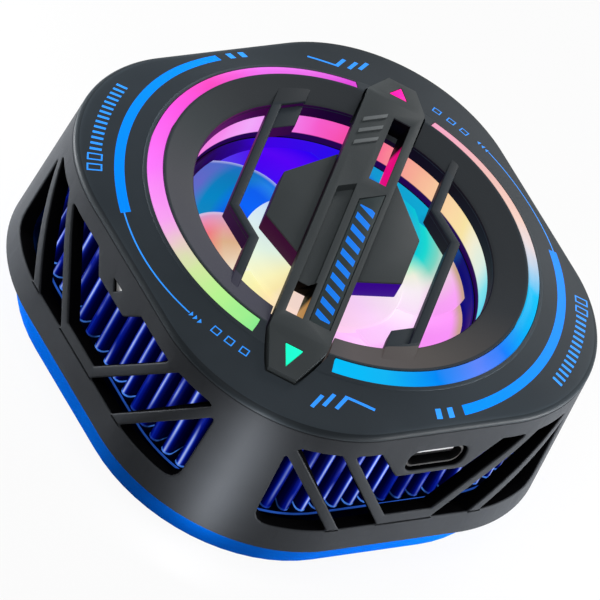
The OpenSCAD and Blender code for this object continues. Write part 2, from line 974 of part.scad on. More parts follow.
// One blade, lofted from root to tip over a grid of points
module blade() {
  row = chord_count + 1;
  face = row * (span_count + 1);
  points = [for (upper = [false, true], i = [0 : span_count], j = [0 : chord_count])
    blade_point(i / span_count, j / chord_count, upper)];
  low = [for (i = [0 : span_count - 1], j = [0 : chord_count - 1])
    let (a = i * row + j)
    each [[a, a + row, a + 1], [a + 1, a + row, a + row + 1]]];
  high = [for (i = [0 : span_count - 1], j = [0 : chord_count - 1])
    let (a = face + i * row + j)
    each [[a, a + 1, a + row], [a + 1, a + row + 1, a + row]]];
  edges = [for (i = [0 : span_count - 1], j = [0, chord_count])
    let (a = i * row + j, b = a + row, flip = j == 0)
    each flip ? [[a, a + face, b], [b, a + face, b + face]]
      : [[a, b, a + face], [b, b + face, a + face]]];
  ends = [for (i = [0, span_count], j = [0 : chord_count - 1])
    let (a = i * row + j, b = a + 1, flip = i == 0)
    each flip ? [[a, b, a + face], [b, b + face, a + face]]
      : [[a, a + face, b], [b, a + face, b + face]]];
  polyhedron(points, concat(low, high, edges, ends));
}

module fan_rotor() {
  boss_r = 2.2;
  color("#cfe6ff") {
    difference() {
      union() {
        difference() {
          translate([0, 0, z_rotor])
            cylinder(r = hub_r, h = rotor_h);
          translate([0, 0, z_rotor - cut])
            cylinder(r = hub_r - hub_wall, h = rotor_h - hub_top_t + cut);
        }
        translate([0, 0, tube_top + motor_gap])
          cylinder(r = boss_r, h = z_hub_in - tube_top);
      }
      translate([0, 0, z_rotor])
        cylinder(r = shaft_d / 2 + fit_gap / 2, h = rotor_h - hub_top_t / 2);
    }
    for (i = [0 : blades - 1])
      rotate(blade_phase + i * 360 / blades)
        blade();
  }
}

module rotor_yoke() {
  color("#6d7075")
    ring(yoke_out - yoke_t, yoke_out, z_rotor + motor_gap / 2, z_hub_in);
}

module rotor_magnet() {
  color("#3b3b3b")
    ring(magnet_out - rotor_magnet_t, magnet_out, z_rotor + motor_gap,
      z_rotor + motor_gap + rotor_magnet_h);
}

module fan_shaft() {
  color("silver")
    translate([0, 0, z_motor - tube_floor / 2])
      cylinder(d = shaft_d, h = z_rotor_top - hub_top_t / 2 - z_motor + tube_floor / 2);
}

module heat_sink() {
  color("#1238c8")
    difference() {
      slab(fin_half + sink_rim, fin_corner + sink_rim, z_sink, z_fins);
      for (x = [-post_place, post_place], y = [-post_place, post_place])
        translate([x, y, z_sink - cut])
          cylinder(r = screw_hole_r, h = screw_bite + screw_end_gap + cut);
    }
}

// Straight and round stretches of the fin band's path, and its whole length
fin_straight = 2 * (fin_half - fin_corner);
fin_arc = PI * fin_corner / 2;
fin_length = 4 * (fin_straight + fin_arc);
pleats = round(fin_length / pleat_pitch);
pleat_step = fin_length / pleats;

// Point at a length along the fin band's path, set in by a depth
function fin_point(length, depth) =
  let (
    stretch = fin_straight + fin_arc,
    side = floor(length / stretch),
    rest = length - side * stretch,
    angle = max(0, rest - fin_straight) / fin_corner * 180 / PI,
    x = min(rest, fin_straight) - fin_straight / 2,
    r = fin_corner - depth,
    px = x + r * sin(angle),
    py = -(fin_half - fin_corner) - r * cos(angle),
    turn = 90 * side)
  [px * cos(turn) - py * sin(turn), px * sin(turn) + py * cos(turn)];

// One face of the pleated sheet: round folds at the two depths, from pleat to pleat
function pleat_face(fold_out, fold_in, depth_out, depth_in) =
  let (bend = [180, 120, 60, 0], start = pleat_step)
  [for (i = [0 : pleats - 1])
    each concat(
      [for (a = bend) fin_point((start + (i + 0.25) * pleat_step + fold_out * cos(a)) % fin_length,
        depth_out + fold_out * (1 - sin(a)))],
      [for (a = bend) fin_point((start + (i + 0.75) * pleat_step + fold_in * cos(a)) % fin_length,
        depth_in - fold_in * (1 - sin(a)))])];

// Pleated sheet that stands on the heat sink's plate
module fin_pack() {
  wide = pleat_step / 4 + fin_t / 2;
  tight = pleat_step / 4 - fin_t / 2;
  outside = pleat_face(wide, tight, 0, pleat_d - fin_t);
  inside = pleat_face(tight, wide, fin_t, pleat_d);
  count = len(outside);
  color("#0a2ad0")
    difference() {
      translate([0, 0, z_fins])
        linear_extrude(z_board - fin_top_gap - z_fins)
          polygon(concat(outside, inside),
            [[for (i = [0 : count - 1]) i], [for (i = [0 : count - 1]) count + i]]);
      translate([-usb_w / 2 - usb_room, -half, z_usb - usb_h / 2 - usb_room / 2])
        cube([usb_w + 2 * usb_room, fin_inset + pleat_d + cut, usb_h + 2 * cut]);
    }
}

module thermo_module() {
  ceramic_t = 0.7;
  leg_count = 6;
  pitch = module_w / leg_count;
  leg_w = pitch / 2;
  color("white") {
    for (z = [z_module, z_sink - ceramic_t])
      translate([-module_w / 2, -module_w / 2, z])
        cube([module_w, module_w, ceramic_t]);
    for (i = [0 : leg_count - 1], j = [0 : leg_count - 1])
      translate([(i + 0.5) * pitch - module_w / 2 - leg_w / 2,
        (j + 0.5) * pitch - module_w / 2 - leg_w / 2, z_module + ceramic_t / 2])
        cube([leg_w, leg_w, module_t - ceramic_t]);
  }
}

module foam_frame() {
  color("#222222")
    difference() {
      translate([0, 0, z_module])
        cylinder(r = foam_r, h = module_t);
      translate([0, 0, z_module + module_t / 2])
        cube([module_w + 2 * foam_gap, module_w + 2 * foam_gap, module_t + 2 * cut], center = true);
    }
}

module cold_plate() {
  color("#c8ccd0") {
    cylinder(r = cold_r, h = z_floor + flange_t / 2);
    translate([0, 0, z_floor])
      cylinder(r = flange_r, h = flange_t);
  }
}

module contact_pad() {
  pad_gap = 0.7;
  color("#1a1a1c")
    ring(cold_r + pad_gap, pad_r, 0, pad_t);
}

module magnets() {
  share = 360 / magnet_count;
  magnet_angle = 0.9 * share;
  color("#c0c4c8")
    for (i = [0 : magnet_count - 1])
      rotate(i * share)
        translate([0, 0, pad_t])
          rotate_extrude(angle = magnet_angle)
            translate([magnet_r + seat_gap, 0])
              square([magnet_w - 2 * seat_gap, magnet_t]);
}

module shield_ring() {
  color("#8d9094")
    ring(magnet_r + seat_gap, magnet_r + magnet_w - seat_gap, pad_t + magnet_t,
      pad_t + magnet_t + shield_t);
}

module base_frame() {
  band_low = half - band_inset;
  band_high = half + band_reach;
  pocket = pad_t + magnet_t + shield_t;
  inner = fin_half + sink_rim + seat_gap;
  corner = fin_corner + sink_rim + seat_gap;
  hole_gap = 0.2;
  pocket_roof = 0.6;
  color("#005ff0")
    difference() {
      union() {
        difference() {
          loft(band_low, corner_r - band_inset + band_round, foot_h, band_high, corner_r + band_reach, base_h);
          slab(inner, corner, z_floor, base_h + cut);
        }
        ring(magnet_r - pocket_wall, magnet_r + magnet_w + pocket_wall, foot_h + skin,
          pocket + pocket_roof);
        for (x = [-post_place, post_place], y = [-post_place, post_place])
          translate([x, y, foot_h + skin])
            cylinder(r = post_r, h = z_sink - foot_h - skin);
        each_side()
          lug(half_rim - wall - lug_gap, base_h - cut, base_h + lug_h);
      }
      translate([0, 0, -cut])
        cylinder(r = cold_r + hole_gap, h = z_floor + 2 * cut);
      translate([0, 0, -cut])
        cylinder(r = pad_r + seat_gap, h = pad_t + cut);
      ring(magnet_r, magnet_r + magnet_w, 0, pocket);
      for (x = [-post_place, post_place], y = [-post_place, post_place])
        translate([x, y, 0]) {
          cylinder(r = screw_hole_r, h = z_sink + cut);
          cylinder(r = screw_head_r + hole_gap, h = foot_h + screw_head_h + screw_sink);
        }
    }
}

// Screw with its head at the given height, shank upwards
module screw(z_head_top, length) {
  translate([0, 0, z_head_top - screw_head_h])
    cylinder(r = screw_head_r, h = screw_head_h);
  translate([0, 0, z_head_top - screw_head_h / 2])
    cylinder(r = screw_r, h = length + screw_head_h / 2);
}

module base_screws() {
  z_seat = foot_h + screw_head_h + screw_sink;
  color("#505458")
    for (x = [-post_place, post_place], y = [-post_place, post_place])
      translate([x, y, 0])
        screw(z_seat, z_sink + screw_bite - z_seat);
}

module bar_screws() {
  color("#505458")
    along_bar()
      for (x = [-bar_screw_x, bar_screw_x])
        translate([x, 0, 0])
          screw(z_boss, z_bar_low + screw_bite - z_boss);
}

top_cover();
light_ring_left();
light_ring_right();
bridge_bar();
name_plate();
hub_plate();
arrow_lens_front();
arrow_lens_rear();
glow_ring();
housing();
status_lens();
control_board();
led_chips();
usb_shell();
usb_tongue();
fan_frame();
bearing_bush();
stator_core();
stator_coils();
motor_board();
fan_rotor();
rotor_yoke();
rotor_magnet();
fan_shaft();
heat_sink();
fin_pack();
thermo_module();
foam_frame();
cold_plate();
magnets();
shield_ring();
base_frame();
contact_pad();
base_screws();
bar_screws();
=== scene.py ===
# %% [markdown]
# # A lit cooling fan for the back of a phone
# The real object is a square cooler with round corners. A dark domed cover carries a lit ring and a
# bridge bar, a fan glows below it, and blue pleated fins stand behind slanted slats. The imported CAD
# model is loaded first and stays fixed. New pieces are modelled over it in the same place, because
# soft edges and smooth domes are easier to make here than in the CAD source.

# %% Load the fixed frame
from math import asin, ceil, cos, hypot, pi, radians, sin, sqrt, tan

import bpy
from mathutils import Matrix, Vector


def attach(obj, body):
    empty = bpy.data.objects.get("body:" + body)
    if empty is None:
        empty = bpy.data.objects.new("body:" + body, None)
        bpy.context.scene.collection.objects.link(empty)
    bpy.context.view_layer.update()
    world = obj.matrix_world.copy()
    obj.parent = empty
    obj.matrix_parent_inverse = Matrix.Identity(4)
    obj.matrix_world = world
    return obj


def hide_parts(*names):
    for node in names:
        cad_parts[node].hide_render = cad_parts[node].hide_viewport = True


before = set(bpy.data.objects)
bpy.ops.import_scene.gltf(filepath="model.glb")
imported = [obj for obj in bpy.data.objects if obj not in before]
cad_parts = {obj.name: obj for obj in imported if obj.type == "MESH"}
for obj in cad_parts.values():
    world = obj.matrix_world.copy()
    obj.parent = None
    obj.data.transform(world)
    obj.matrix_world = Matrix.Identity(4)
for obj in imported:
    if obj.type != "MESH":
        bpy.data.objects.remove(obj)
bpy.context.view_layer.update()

# %% [markdown]
# ## Small tools for modelling by hand
# Operators act on whatever is selected, so every step starts by selecting one object and nothing
# else. Pieces are drawn in millimetres, where merging and filling have room to work, and are scaled
# to metres when they are finished.

# %% Select, edit and choose
MM = 0.001


def only(obj):
    if bpy.context.mode != "OBJECT":
        bpy.ops.object.mode_set(mode="OBJECT")
    bpy.ops.object.select_all(action="DESELECT")
    obj.select_set(True)
    bpy.context.view_layer.objects.active = obj


def choose(obj, kind, test):
    """Opens edit mode on obj with the vertices, edges or faces selected that pass the test."""
    only(obj)
    bpy.context.tool_settings.mesh_select_mode = [kind == k for k in ("VERT", "EDGE", "FACE")]
    mesh = obj.data
    for group, name in ((mesh.vertices, "VERT"), (mesh.edges, "EDGE"), (mesh.polygons, "FACE")):
        group.foreach_set("select", [name == kind and bool(test(item)) for item in group])
    bpy.ops.object.mode_set(mode="EDIT")


def back():
    bpy.ops.object.mode_set(mode="OBJECT")


def tidy(obj, distance=0.002):
    """Merges doubled points and turns every face outwards."""
    only(obj)
    bpy.ops.object.mode_set(mode="EDIT")
    bpy.ops.mesh.select_all(action="SELECT")
    bpy.ops.mesh.remove_doubles(threshold=distance)
    bpy.ops.mesh.normals_make_consistent(inside=False)
    back()


print("modelling tools ready")

# %% [markdown]
# ## Rows: a shape as a ring that is extruded and moved
# Most pieces here are a closed outline that climbs, narrows or folds over. By hand that is a circle
# whose edge loop is extruded again and again, each new loop being moved to its place. The helper
# does just that, so one list of outlines makes a dome, a plate with soft edges or a blade.

# %% Outlines extruded into solids
def rows_piece(name, rows, caps=(), ring=False):
    """Extrudes a circle through rows of points; caps fills the first or last row, ring joins them."""
    count = len(rows[0])
    bpy.ops.object.select_all(action="DESELECT")
    bpy.ops.mesh.primitive_circle_add(vertices=count, radius=1, fill_type="NOTHING")
    obj = bpy.context.object
    obj.name = obj.data.name = name
    order = list(range(count))
    for index, point in zip(order, rows[0]):
        obj.data.vertices[index].co = point
    following = list(rows[1:]) + ([rows[0]] if ring else [])
    for row in following:
        chosen = set(order)
        choose(obj, "VERT", lambda v: v.index in chosen)
        bpy.ops.mesh.extrude_edges_move()
        back()
        points = obj.data.vertices
        place = {tuple(round(c, 6) for c in points[i].co): k for k, i in enumerate(order)}
        fresh = range(len(points) - count, len(points))
        new_order = [0] * count
        for index in fresh:
            new_order[place[tuple(round(c, 6) for c in points[index].co)]] = index
        for index, point in zip(new_order, row):
            points[index].co = point
        order = new_order
    first, last = set(range(count)), set(order)
    for end, chosen in (("first", first), ("last", last)):
        if end in caps:
            choose(obj, "VERT", lambda v: v.index in chosen)
            bpy.ops.mesh.edge_face_add()
            back()
    tidy(obj)
    return obj


def join(pieces, name):
    only(pieces[0])
    for piece in pieces[1:]:
        piece.select_set(True)
    bpy.ops.object.join()
    pieces[0].name = pieces[0].data.name = name
    return pieces[0]


def combine(obj, tool, operation):
    """Applies a boolean and removes the tool."""
    only(obj)
    step = obj.modifiers.new("cut", "BOOLEAN")
    step.operation, step.solver, step.object = operation, "EXACT", tool
    bpy.ops.object.modifier_apply(modifier=step.name)
    bpy.data.objects.remove(tool)
    return obj


print("row and boolean tools ready")

# %% [markdown]
# ## Outlines with round corners and moved edges
# Moulded plastic has no knife edges. An outline is therefore rounded at its corners, and its rim is
# moved inwards over the last few rows, which gives the small radius that catches the light.

# %% Outline tools
def rounded(points, radius, steps=4):
    """Replaces each corner by an arc; radius is one number, or one for each corner."""
    out = []
    count = len(points)
    for i, here in enumerate(points):
        r = radius[i] if isinstance(radius, (list, tuple)) else radius
        p, a, b = Vector(here), Vector(points[i - 1]), Vector(points[(i + 1) % count])
        u, v = (a - p), (b - p)
        turn = u.angle(v, pi)
        reach = r / tan(turn / 2) if r > 0 else 0
        reach = min(reach, 0.45 * u.length, 0.45 * v.length)
        if reach < 1e-4 or turn > pi - 0.02:
            out.append(tuple(p))
            continue
        start, end = p + u.normalized() * reach, p + v.normalized() * reach
        for k in range(steps + 1):
            t = k / steps
            out.append(tuple((1 - t) ** 2 * start + 2 * t * (1 - t) * p + t ** 2 * end))
    return out


def area(points):
    return sum(a[0] * b[1] - b[0] * a[1] for a, b in zip(points, points[1:] + points[:1])) / 2


def moved(points, inset):
    """Moves every edge of an outline inwards by the inset, with mitred corners."""
    sign = 1 if area(points) > 0 else -1
    out = []
    count = len(points)
    for i, here in enumerate(points):
        p, a, b = Vector(here), Vector(points[i - 1]), Vector(points[(i + 1) % count])
        u, v = (p - a).normalized(), (b - p).normalized()
        n = Vector((-u.y, u.x)) + Vector((-v.y, v.x))
        scale = 2 / max(n.length_squared, 0.5)
        out.append(tuple(p + n * scale * inset * sign))
    return out


def soft_rows(outline, low, high, edge, steps=3):
    """Rows of a plate that rises from low to high with a rounded upper rim."""
    rows = [[(x, y, low) for x, y in outline]]
    for k in range(steps + 1):
        turn = pi / 2 * k / steps
        inner = moved(outline, edge * (1 - cos(turn)))
        rows.append([(x, y, high - edge * (1 - sin(turn))) for x, y in inner])
    return rows


def plate(name, outline, low, high, edge):
    return rows_piece(name, soft_rows(outline, low, high, edge), caps=("first", "last"))


def to_world(obj, turn=45):
    """Turns a piece from the bar's own frame into the shared one."""
    obj.data.transform(Matrix.Rotation(radians(turn), 4, "Z"))
    return obj


def settle(obj, body, slot, *nodes, angle=32):
    """Scales a finished piece to metres, shades it and hands it to the frame."""
    obj.data.transform(Matrix.Scale(MM, 4))
    only(obj)
    bpy.ops.object.shade_smooth_by_angle(angle=radians(angle))
    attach(obj, body)
    if nodes:
        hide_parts(*nodes)
    print(obj.name, "faces:", len(obj.data.polygons))
    return obj


def copy_node(node, name):
    """A copy of a CAD node in millimetres, with its loose triangles merged into flat faces."""
    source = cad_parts[node]
    obj = bpy.data.objects.new(name, source.data.copy())
    obj.data.name = name
    bpy.context.scene.collection.objects.link(obj)
    obj.data.transform(Matrix.Scale(1 / MM, 4))
    obj.data.materials.clear()
    only(obj)
    if obj.data.has_custom_normals:
        bpy.ops.mesh.customdata_custom_splitnormals_clear()
    bpy.ops.object.mode_set(mode="EDIT")
    bpy.ops.mesh.select_all(action="SELECT")
    bpy.ops.mesh.remove_doubles(threshold=0.001)
    bpy.ops.mesh.dissolve_limited(angle_limit=radians(0.5))
    back()
    return obj


print("outline tools ready")

# %% [markdown]
# ## Sizes that the pieces share
# These are the CAD model's own sizes in millimetres: the seam between housing and cover, the corner
# radius, the lit ring, the inlet and the heights of the stacked pieces.

# %% Shared sizes
HALF, CORNER, FLARE = 33.0, 22.5, 0.9
RING_IN, RING_OUT, INLET = 25.6, 27.6, 21.0
Z_BASE, Z_SEAM, Z_COLLAR, Z_BAR_LOW = 6.0, 26.7, 27.7, 28.3
Z_HUB, Z_GUARD, Z_ABOVE = 29.4, 30.2, 33.0


def reach(angle, half, corner):
    """Distance from the centre to a square with round corners."""
    c, s = abs(cos(angle)), abs(sin(angle))
    flat = half - corner
    straight = half / max(c, s)
    if straight * min(c, s) <= flat:
        return straight
    b = flat * (c + s)
    return b + sqrt(b * b - 2 * flat * flat + corner * corner)


print("corner reach:", round(reach(pi / 4, HALF, CORNER), 2), "mm")

# %% [markdown]
# ## Cover
# The cover is one moulding: an upright edge, a straight dome, the seat of the lit ring, a sloping
# bezel and the inlet's wall. A lathe can't make it, because it is square outside and round inside.
# A loop of 256 points is extruded through the whole section instead, from square to circle.

# %% Cover section
TURNS = 256
Z_UPRIGHT, Z_EDGE, EDGE_SOFT = 26.95, 27.5, 1.1
SEAT_R, Z_SEAT = 28.1, 29.46
angles = [2 * pi * k / TURNS for k in range(TURNS)]


def ring_row(radius, z):
    return [(radius * cos(a), radius * sin(a), z) for a in angles]


def square_row(half, corner, z):
    return [(reach(a, half, corner) * cos(a), reach(a, half, corner) * sin(a), z) for a in angles]


def dome_row(step):
    """A row of the outer skin: step 0 is the upright edge's top, 1 the dome's foot, 2 the ring's seat."""
    row = []
    for a in angles:
        edge = Vector((reach(a, HALF, CORNER), Z_EDGE))
        top = Vector((SEAT_R, Z_SEAT))
        slope = (top - edge).normalized()
        start, soft = Vector((edge.x, Z_UPRIGHT)), edge + slope * EDGE_SOFT
        if step < 1:
            point = (1 - step) ** 2 * start + 2 * step * (1 - step) * edge + step ** 2 * soft
        else:
            point = soft.lerp(top, step - 1)
        row.append((point.x * cos(a), point.x * sin(a), point.y))
    return row


lip = [square_row(HALF - 0.2, CORNER - 0.2, Z_SEAM), square_row(HALF - 0.05, CORNER - 0.05, Z_SEAM + 0.06)]
dome = [dome_row(k / 6) for k in range(6)] + [dome_row(1 + k / 4) for k in range(5)]
seat_line = [(28.05, 29.54), (27.9, 29.62), (26.6, 30.18), (25.75, 30.53), (25.55, 30.6), (25.35, 30.6)]
bezel_line = [(25.1, 30.54), (23.5, 30.22), (21.6, 29.82), (21.25, 29.73), (21.05, 29.6)]
well_line = [(INLET, 29.4), (INLET, Z_COLLAR), (28, Z_COLLAR)]
under = [square_row(HALF - 2, CORNER - 2, z) for z in (Z_SEAM + 0.2, Z_SEAM)]
cover_rows = lip + dome + [ring_row(r, z) for r, z in seat_line + bezel_line + well_line] + under
cover = rows_piece("cover_shell", cover_rows, ring=True)
print("cover points:", len(cover.data.vertices))

# %% [markdown]
# ## Grooves and pocket in the cover
# Two arcs of light sit in a groove that stops short of the bar, and the bar's noses sink into a
# pocket with a thin shadow gap. Both are cut with booleans, as a mould maker would cut them.

# %% Cut the grooves and the pocket
ARC_START, ARC_END, Z_GROOVE = 12, 168, 28.85
BAR_END, BAR_BEND, BAR_HALF, BAR_NOSE, BAR_GAP = 31.2, 25.6, 4.15, 2, 0.3
BOTH_ENDS = ("first", "last")


def arc_rows(r_in, r_out, low, high, start, end, steps=96):
    """Rows of an arc with a rectangular section, to be used as a cutter."""
    rows = []
    for k in range(steps + 1):
        a = radians(start + (end - start) * k / steps)
        rows.append([(r * cos(a), r * sin(a), z) for r, z in (
            (r_in, low), (r_out, low), (r_out, high), (r_in, high))])
    return rows


def bar_outline(grow):
    end, bend, w, nose = BAR_END + grow, BAR_BEND, BAR_HALF + grow, BAR_NOSE + grow
    right_side = [(-end, -nose), (-bend, -w), (bend, -w), (end, -nose)]
    return right_side + [(-x, -y) for x, y in right_side]


for side in (0, 180):
    rows = arc_rows(RING_IN, RING_OUT, Z_GROOVE, Z_ABOVE, ARC_START + side, ARC_END + side)
    combine(cover, to_world(rows_piece("groove", rows, caps=BOTH_ENDS)), "DIFFERENCE")
pocket_line = rounded(bar_outline(BAR_GAP), BAR_GAP)
rows = [[(x, y, z) for x, y in pocket_line] for z in (Z_BAR_LOW, Z_ABOVE)]
combine(cover, to_world(rows_piece("pocket", rows, caps=BOTH_ENDS)), "DIFFERENCE")
print("cover after cutting:", len(cover.data.polygons))

# %% [markdown]
# ## Guard bars
# Two kinked bars cross the inlet beside the bridge bar, each with a stepped plate at its wide end.
# They belong to the cover's moulding, so they are plates with a soft upper rim that end inside the
# bezel, and they are joined to the cover as one piece.

# %% Guard bars
GUARD_OUT, GUARD_IN, GUARD_W, KINK, TRIM = 14.25, 10.25, 1.3, 6.6, 24.3
SLANT_HIGH, SLANT_LOW = 29.1, 24.8
STEP_NEAR, STEP_FAR, STEP_OUT = 19, 16.2, 13.7
Z_GUARD_LOW, Z_STEP = 27.5, 29.4


def guard_outline():
    mitre, w = GUARD_W / 2 * tan(radians(22.5)), GUARD_W / 2
    far = KINK + GUARD_OUT - GUARD_IN
    end_out = sqrt(TRIM ** 2 - GUARD_OUT ** 2)
    end_in = sqrt(TRIM ** 2 - GUARD_IN ** 2)
    return [(end_out, GUARD_OUT + w), (-KINK - mitre, GUARD_OUT + w), (-far - mitre, GUARD_IN + w),
            (-end_in, GUARD_IN + w), (-end_in, GUARD_IN - w), (mitre - far, GUARD_IN - w),
            (mitre - KINK, GUARD_OUT - w), (end_out, GUARD_OUT - w)]


guards = []
for turn in (0, 180):
    inner, outer = GUARD_IN + GUARD_W / 2, GUARD_OUT + GUARD_W / 2
    end, end_out = sqrt(TRIM ** 2 - inner ** 2), sqrt(TRIM ** 2 - outer ** 2)
    high_plate = [(SLANT_HIGH - inner, inner), (end, inner), (end_out, outer), (SLANT_HIGH - outer, outer)]
    low_plate = [(SLANT_LOW - inner, inner), (STEP_NEAR, inner), (STEP_FAR, STEP_OUT),
                 (SLANT_LOW - STEP_OUT, STEP_OUT)]
    for outline, top, edge in ((guard_outline(), Z_GUARD, 0.22), (high_plate, Z_GUARD + 0.02, 0.18),
                               (low_plate, Z_STEP, 0.15)):
        guards.append(to_world(plate("guard", outline, Z_GUARD_LOW, top, edge), 45 + turn))
cover = join([cover] + guards, "cover_shell")
settle(cover, "body", "cover_plastic", "top_cover")

# %% [markdown]
# ## Housing
# Each side is a window with leaning slats that runs into the round corners. It is drawn flat, as a
# developed sheet: an outline with holes whose rims are rounded. The sheet is then cut into narrow
# strips by bisecting, so that it can bend, and its points are wrapped round the corners.

# %% Openings of one side
WALL, FLAT = 2.0, HALF - CORNER
SPAN = FLAT + CORNER * pi / 4
Z_SILL, Z_HEAD = 9.9, 23.9


def corner_at(z):
    return CORNER + FLARE * (Z_SEAM - z) / (Z_SEAM - Z_BASE)


def unroll(s, z):
    """Place along the developed sheet of a point seen from the front."""
    if abs(s) <= FLAT:
        return s
    u = FLAT + CORNER * asin((abs(s) - FLAT) / corner_at(z))
    return u if s > 0 else -u


def developed(points):
    """Splits an outline's long edges and unrolls it."""
    out = []
    for a, b in zip(points, points[1:] + points[:1]):
        steps = max(1, ceil(hypot(b[0] - a[0], b[1] - a[1]) / 1.5))
        for k in range(steps):
            t = k / steps
            s, z = a[0] + (b[0] - a[0]) * t, a[1] + (b[1] - a[1]) * t
            out.append((unroll(s, z), z))
    return out


def mirrored(points):
    return [(-x, z) for x, z in reversed(points)]


def middle_vent(shoulder, tab, low):
    """The window in the middle of a side, with a tab of the head hanging into it."""
    half = [(3.74, 11.6), (13.83, Z_HEAD), (shoulder, Z_HEAD), (tab, low)]
    return rounded([(-3.74, 11.6)] + half + mirrored(half)[:-1], 0.4)


inner_vent = rounded([(4.25, Z_SILL), (10.35, Z_SILL), (21.56, 23.57), (20.9, Z_HEAD), (15.73, Z_HEAD)],
                     [0.3, 0.3, 0.5, 0.5, 0.3])
outer_vent = rounded([(12.25, Z_SILL), (22.5, Z_SILL), (22.5, 22.4)], [0.3, 2.2, 0.3])
usb_vent, tab_vent = middle_vent(9.72, 5.4, 19.1), middle_vent(6.11, 3.5, 21.0)
usb_slot = rounded([(-4.67, 19.82), (4.67, 19.82), (4.67, 23.48), (-4.67, 23.48)], 1.83, 8)
status_slot = rounded([(-1.2, 23.4), (0, 21.9), (1.2, 23.4)], 0.15)
print("outer vent ends at", round(unroll(22.5, 11), 2), "of", round(SPAN, 2))

# %% [markdown]
# The sheet's outline and every hole are tubes of rows from the outer to the inner face. Filling the
# outer rows together gives the face with its holes, and the same is done at the back. A thin line of
# points just above the sill is sunk, which makes the parting line; painted shade behind the skin darkens it.

# %% One side as a flat sheet, then wrapped
GAP_LOW, GAP_HIGH, GAP_DEPTH, GAP_END = 9.76, 10.0, 0.3, unroll(19.5, Z_SILL)
STRIPS, TOP_EDGE, RIM, SLOT_RIM, STATUS_RIM = 60, 0.12, 0.24, 0.3, 0.12


def hole_rows(outline, edge):
    """Rows of a hole from the outer face inwards, its rim rounded."""
    rows = []
    for k in range(4):
        turn = pi / 2 * k / 3
        wide = moved(outline, -edge * (1 - sin(turn)))
        rows.append([(x, edge * (1 - cos(turn)), z) for x, z in wide])
    return rows + [[(x, WALL, z) for x, z in outline]]


def bisect(obj, place, normal):
    """Cuts every face of a piece along a plane, without parting it."""
    only(obj)
    bpy.ops.object.mode_set(mode="EDIT")
    bpy.ops.mesh.select_all(action="SELECT")
    bpy.ops.mesh.bisect(plane_co=place, plane_no=normal)
    back()


def side_sheet(holes):
    top = [(-SPAN + 2 * SPAN * k / STRIPS, Z_SEAM) for k in range(STRIPS + 1)]
    rim = top + [(-x, Z_BASE) for x, _ in top]
    rows = [[(x, 0, z - TOP_EDGE if z == Z_SEAM else z) for x, z in rim], [(x, TOP_EDGE, z) for x, z in rim],
            [(x, WALL, z) for x, z in rim]]
    tubes = [rows_piece("rim", rows)] + [rows_piece("hole", hole_rows(h, e)) for h, e in holes]
    sheet = join(tubes, "side_sheet")
    for depth in (0, WALL):
        choose(sheet, "VERT", lambda v: abs(v.co.y - depth) < 1e-4)
        bpy.ops.mesh.fill(use_beauty=True)
        back()
    tidy(sheet)
    for x, _ in top[1:-1]:
        bisect(sheet, (x, 0, 0), (1, 0, 0))
    for z in (GAP_LOW - 0.04, GAP_LOW, GAP_HIGH, GAP_HIGH + 0.04):
        bisect(sheet, (0, 0, z), (0, 0, 1))
    for v in sheet.data.vertices:
        u, depth, z = v.co
        if GAP_LOW - 0.01 < z < GAP_HIGH + 0.01 and depth < 0.01 and abs(u) < GAP_END:
            depth = GAP_DEPTH
        radius = corner_at(z) - depth
        phi = max(0, abs(u) - FLAT) / CORNER
        x = min(abs(u), FLAT) + radius * sin(phi)
        v.co = (x if u > 0 else -x, -(FLAT + radius * cos(phi)), z)
    return sheet


common = [(developed(h), RIM) for h in (inner_vent, outer_vent)]
common += [(mirrored(h), RIM) for h, _ in common]
sides = []
for turn, vent, extra in ((0, usb_vent, [(usb_slot, SLOT_RIM)]), (90, tab_vent, []), (180, tab_vent, []),
                          (270, tab_vent, [(status_slot, STATUS_RIM)])):
    sides.append(to_world(side_sheet(common + [(developed(vent), RIM)] + extra), turn))
housing = join(sides, "housing_shell")
tidy(housing, 0.01)
settle(housing, "body", "housing_plastic", "housing")

# %% [markdown]
# ## Bridge bar, hub plate and inlay
# These are flat-faced mouldings that the CAD model already has right. Copies of them get the small
# edge radius that a mould leaves, with a bevel on the sharp edges.

# %% Bevelled copies
def bevelled_copy(node, name, width, slot, skip=lambda a, b: False, shift=lambda v: v, angle=32):
    obj = copy_node(node, name)
    for v in obj.data.vertices:
        v.co = shift(v.co)
    faces = {}
    for polygon in obj.data.polygons:
        for key in polygon.edge_keys:
            faces.setdefault(key, []).append(polygon.normal.copy())
    points = obj.data.vertices

    def sharp(edge):
        normals = faces.get(tuple(sorted(edge.vertices)), [])
        if len(normals) != 2 or normals[0].angle(normals[1], 0) < radians(25):
            return False
        return not skip(*(points[i].co for i in edge.vertices))

    choose(obj, "EDGE", sharp)
    bpy.ops.mesh.bevel(offset=width, segments=2, affect="EDGES", clamp_overlap=True, loop_slide=True)
    back()
    return settle(obj, "body", slot, node, angle=angle)


SCREW_PLACE, SCREW_ALONG, SCREW_ACROSS, Z_SCREW = 24.6, 1.2, 1.13, 30.2
LEANING = ((8.8, 22.2, -2.95, 0.7), (-22.2, -14.4, 0.45, 0.65))


def bar_place(x, y):
    """Place along the bar, towards its far nose, and across it, towards the left."""
    return (x + y) * sqrt(0.5), (y - x) * sqrt(0.5)


def in_screw_hole(*ends):
    places = [(*bar_place(p.x, p.y), p.z) for p in ends]
    return all(abs(abs(along) - SCREW_PLACE) < SCREW_ALONG and abs(across) < SCREW_ACROSS and z < Z_SCREW
               for along, across, z in places)


def lean_windows(p):
    """Moves the low edge of each window's right wall inwards, so that the wall leans."""
    along, across = bar_place(p.x, p.y)
    step = 0.0
    for low, high, wall, lean in LEANING:
        if p.z < Z_BAR_LOW + 0.1 and low < along < high and abs(across - wall) < 0.05:
            step = lean
    return p + Vector((-1, 1, 0)) * (step * sqrt(0.5))


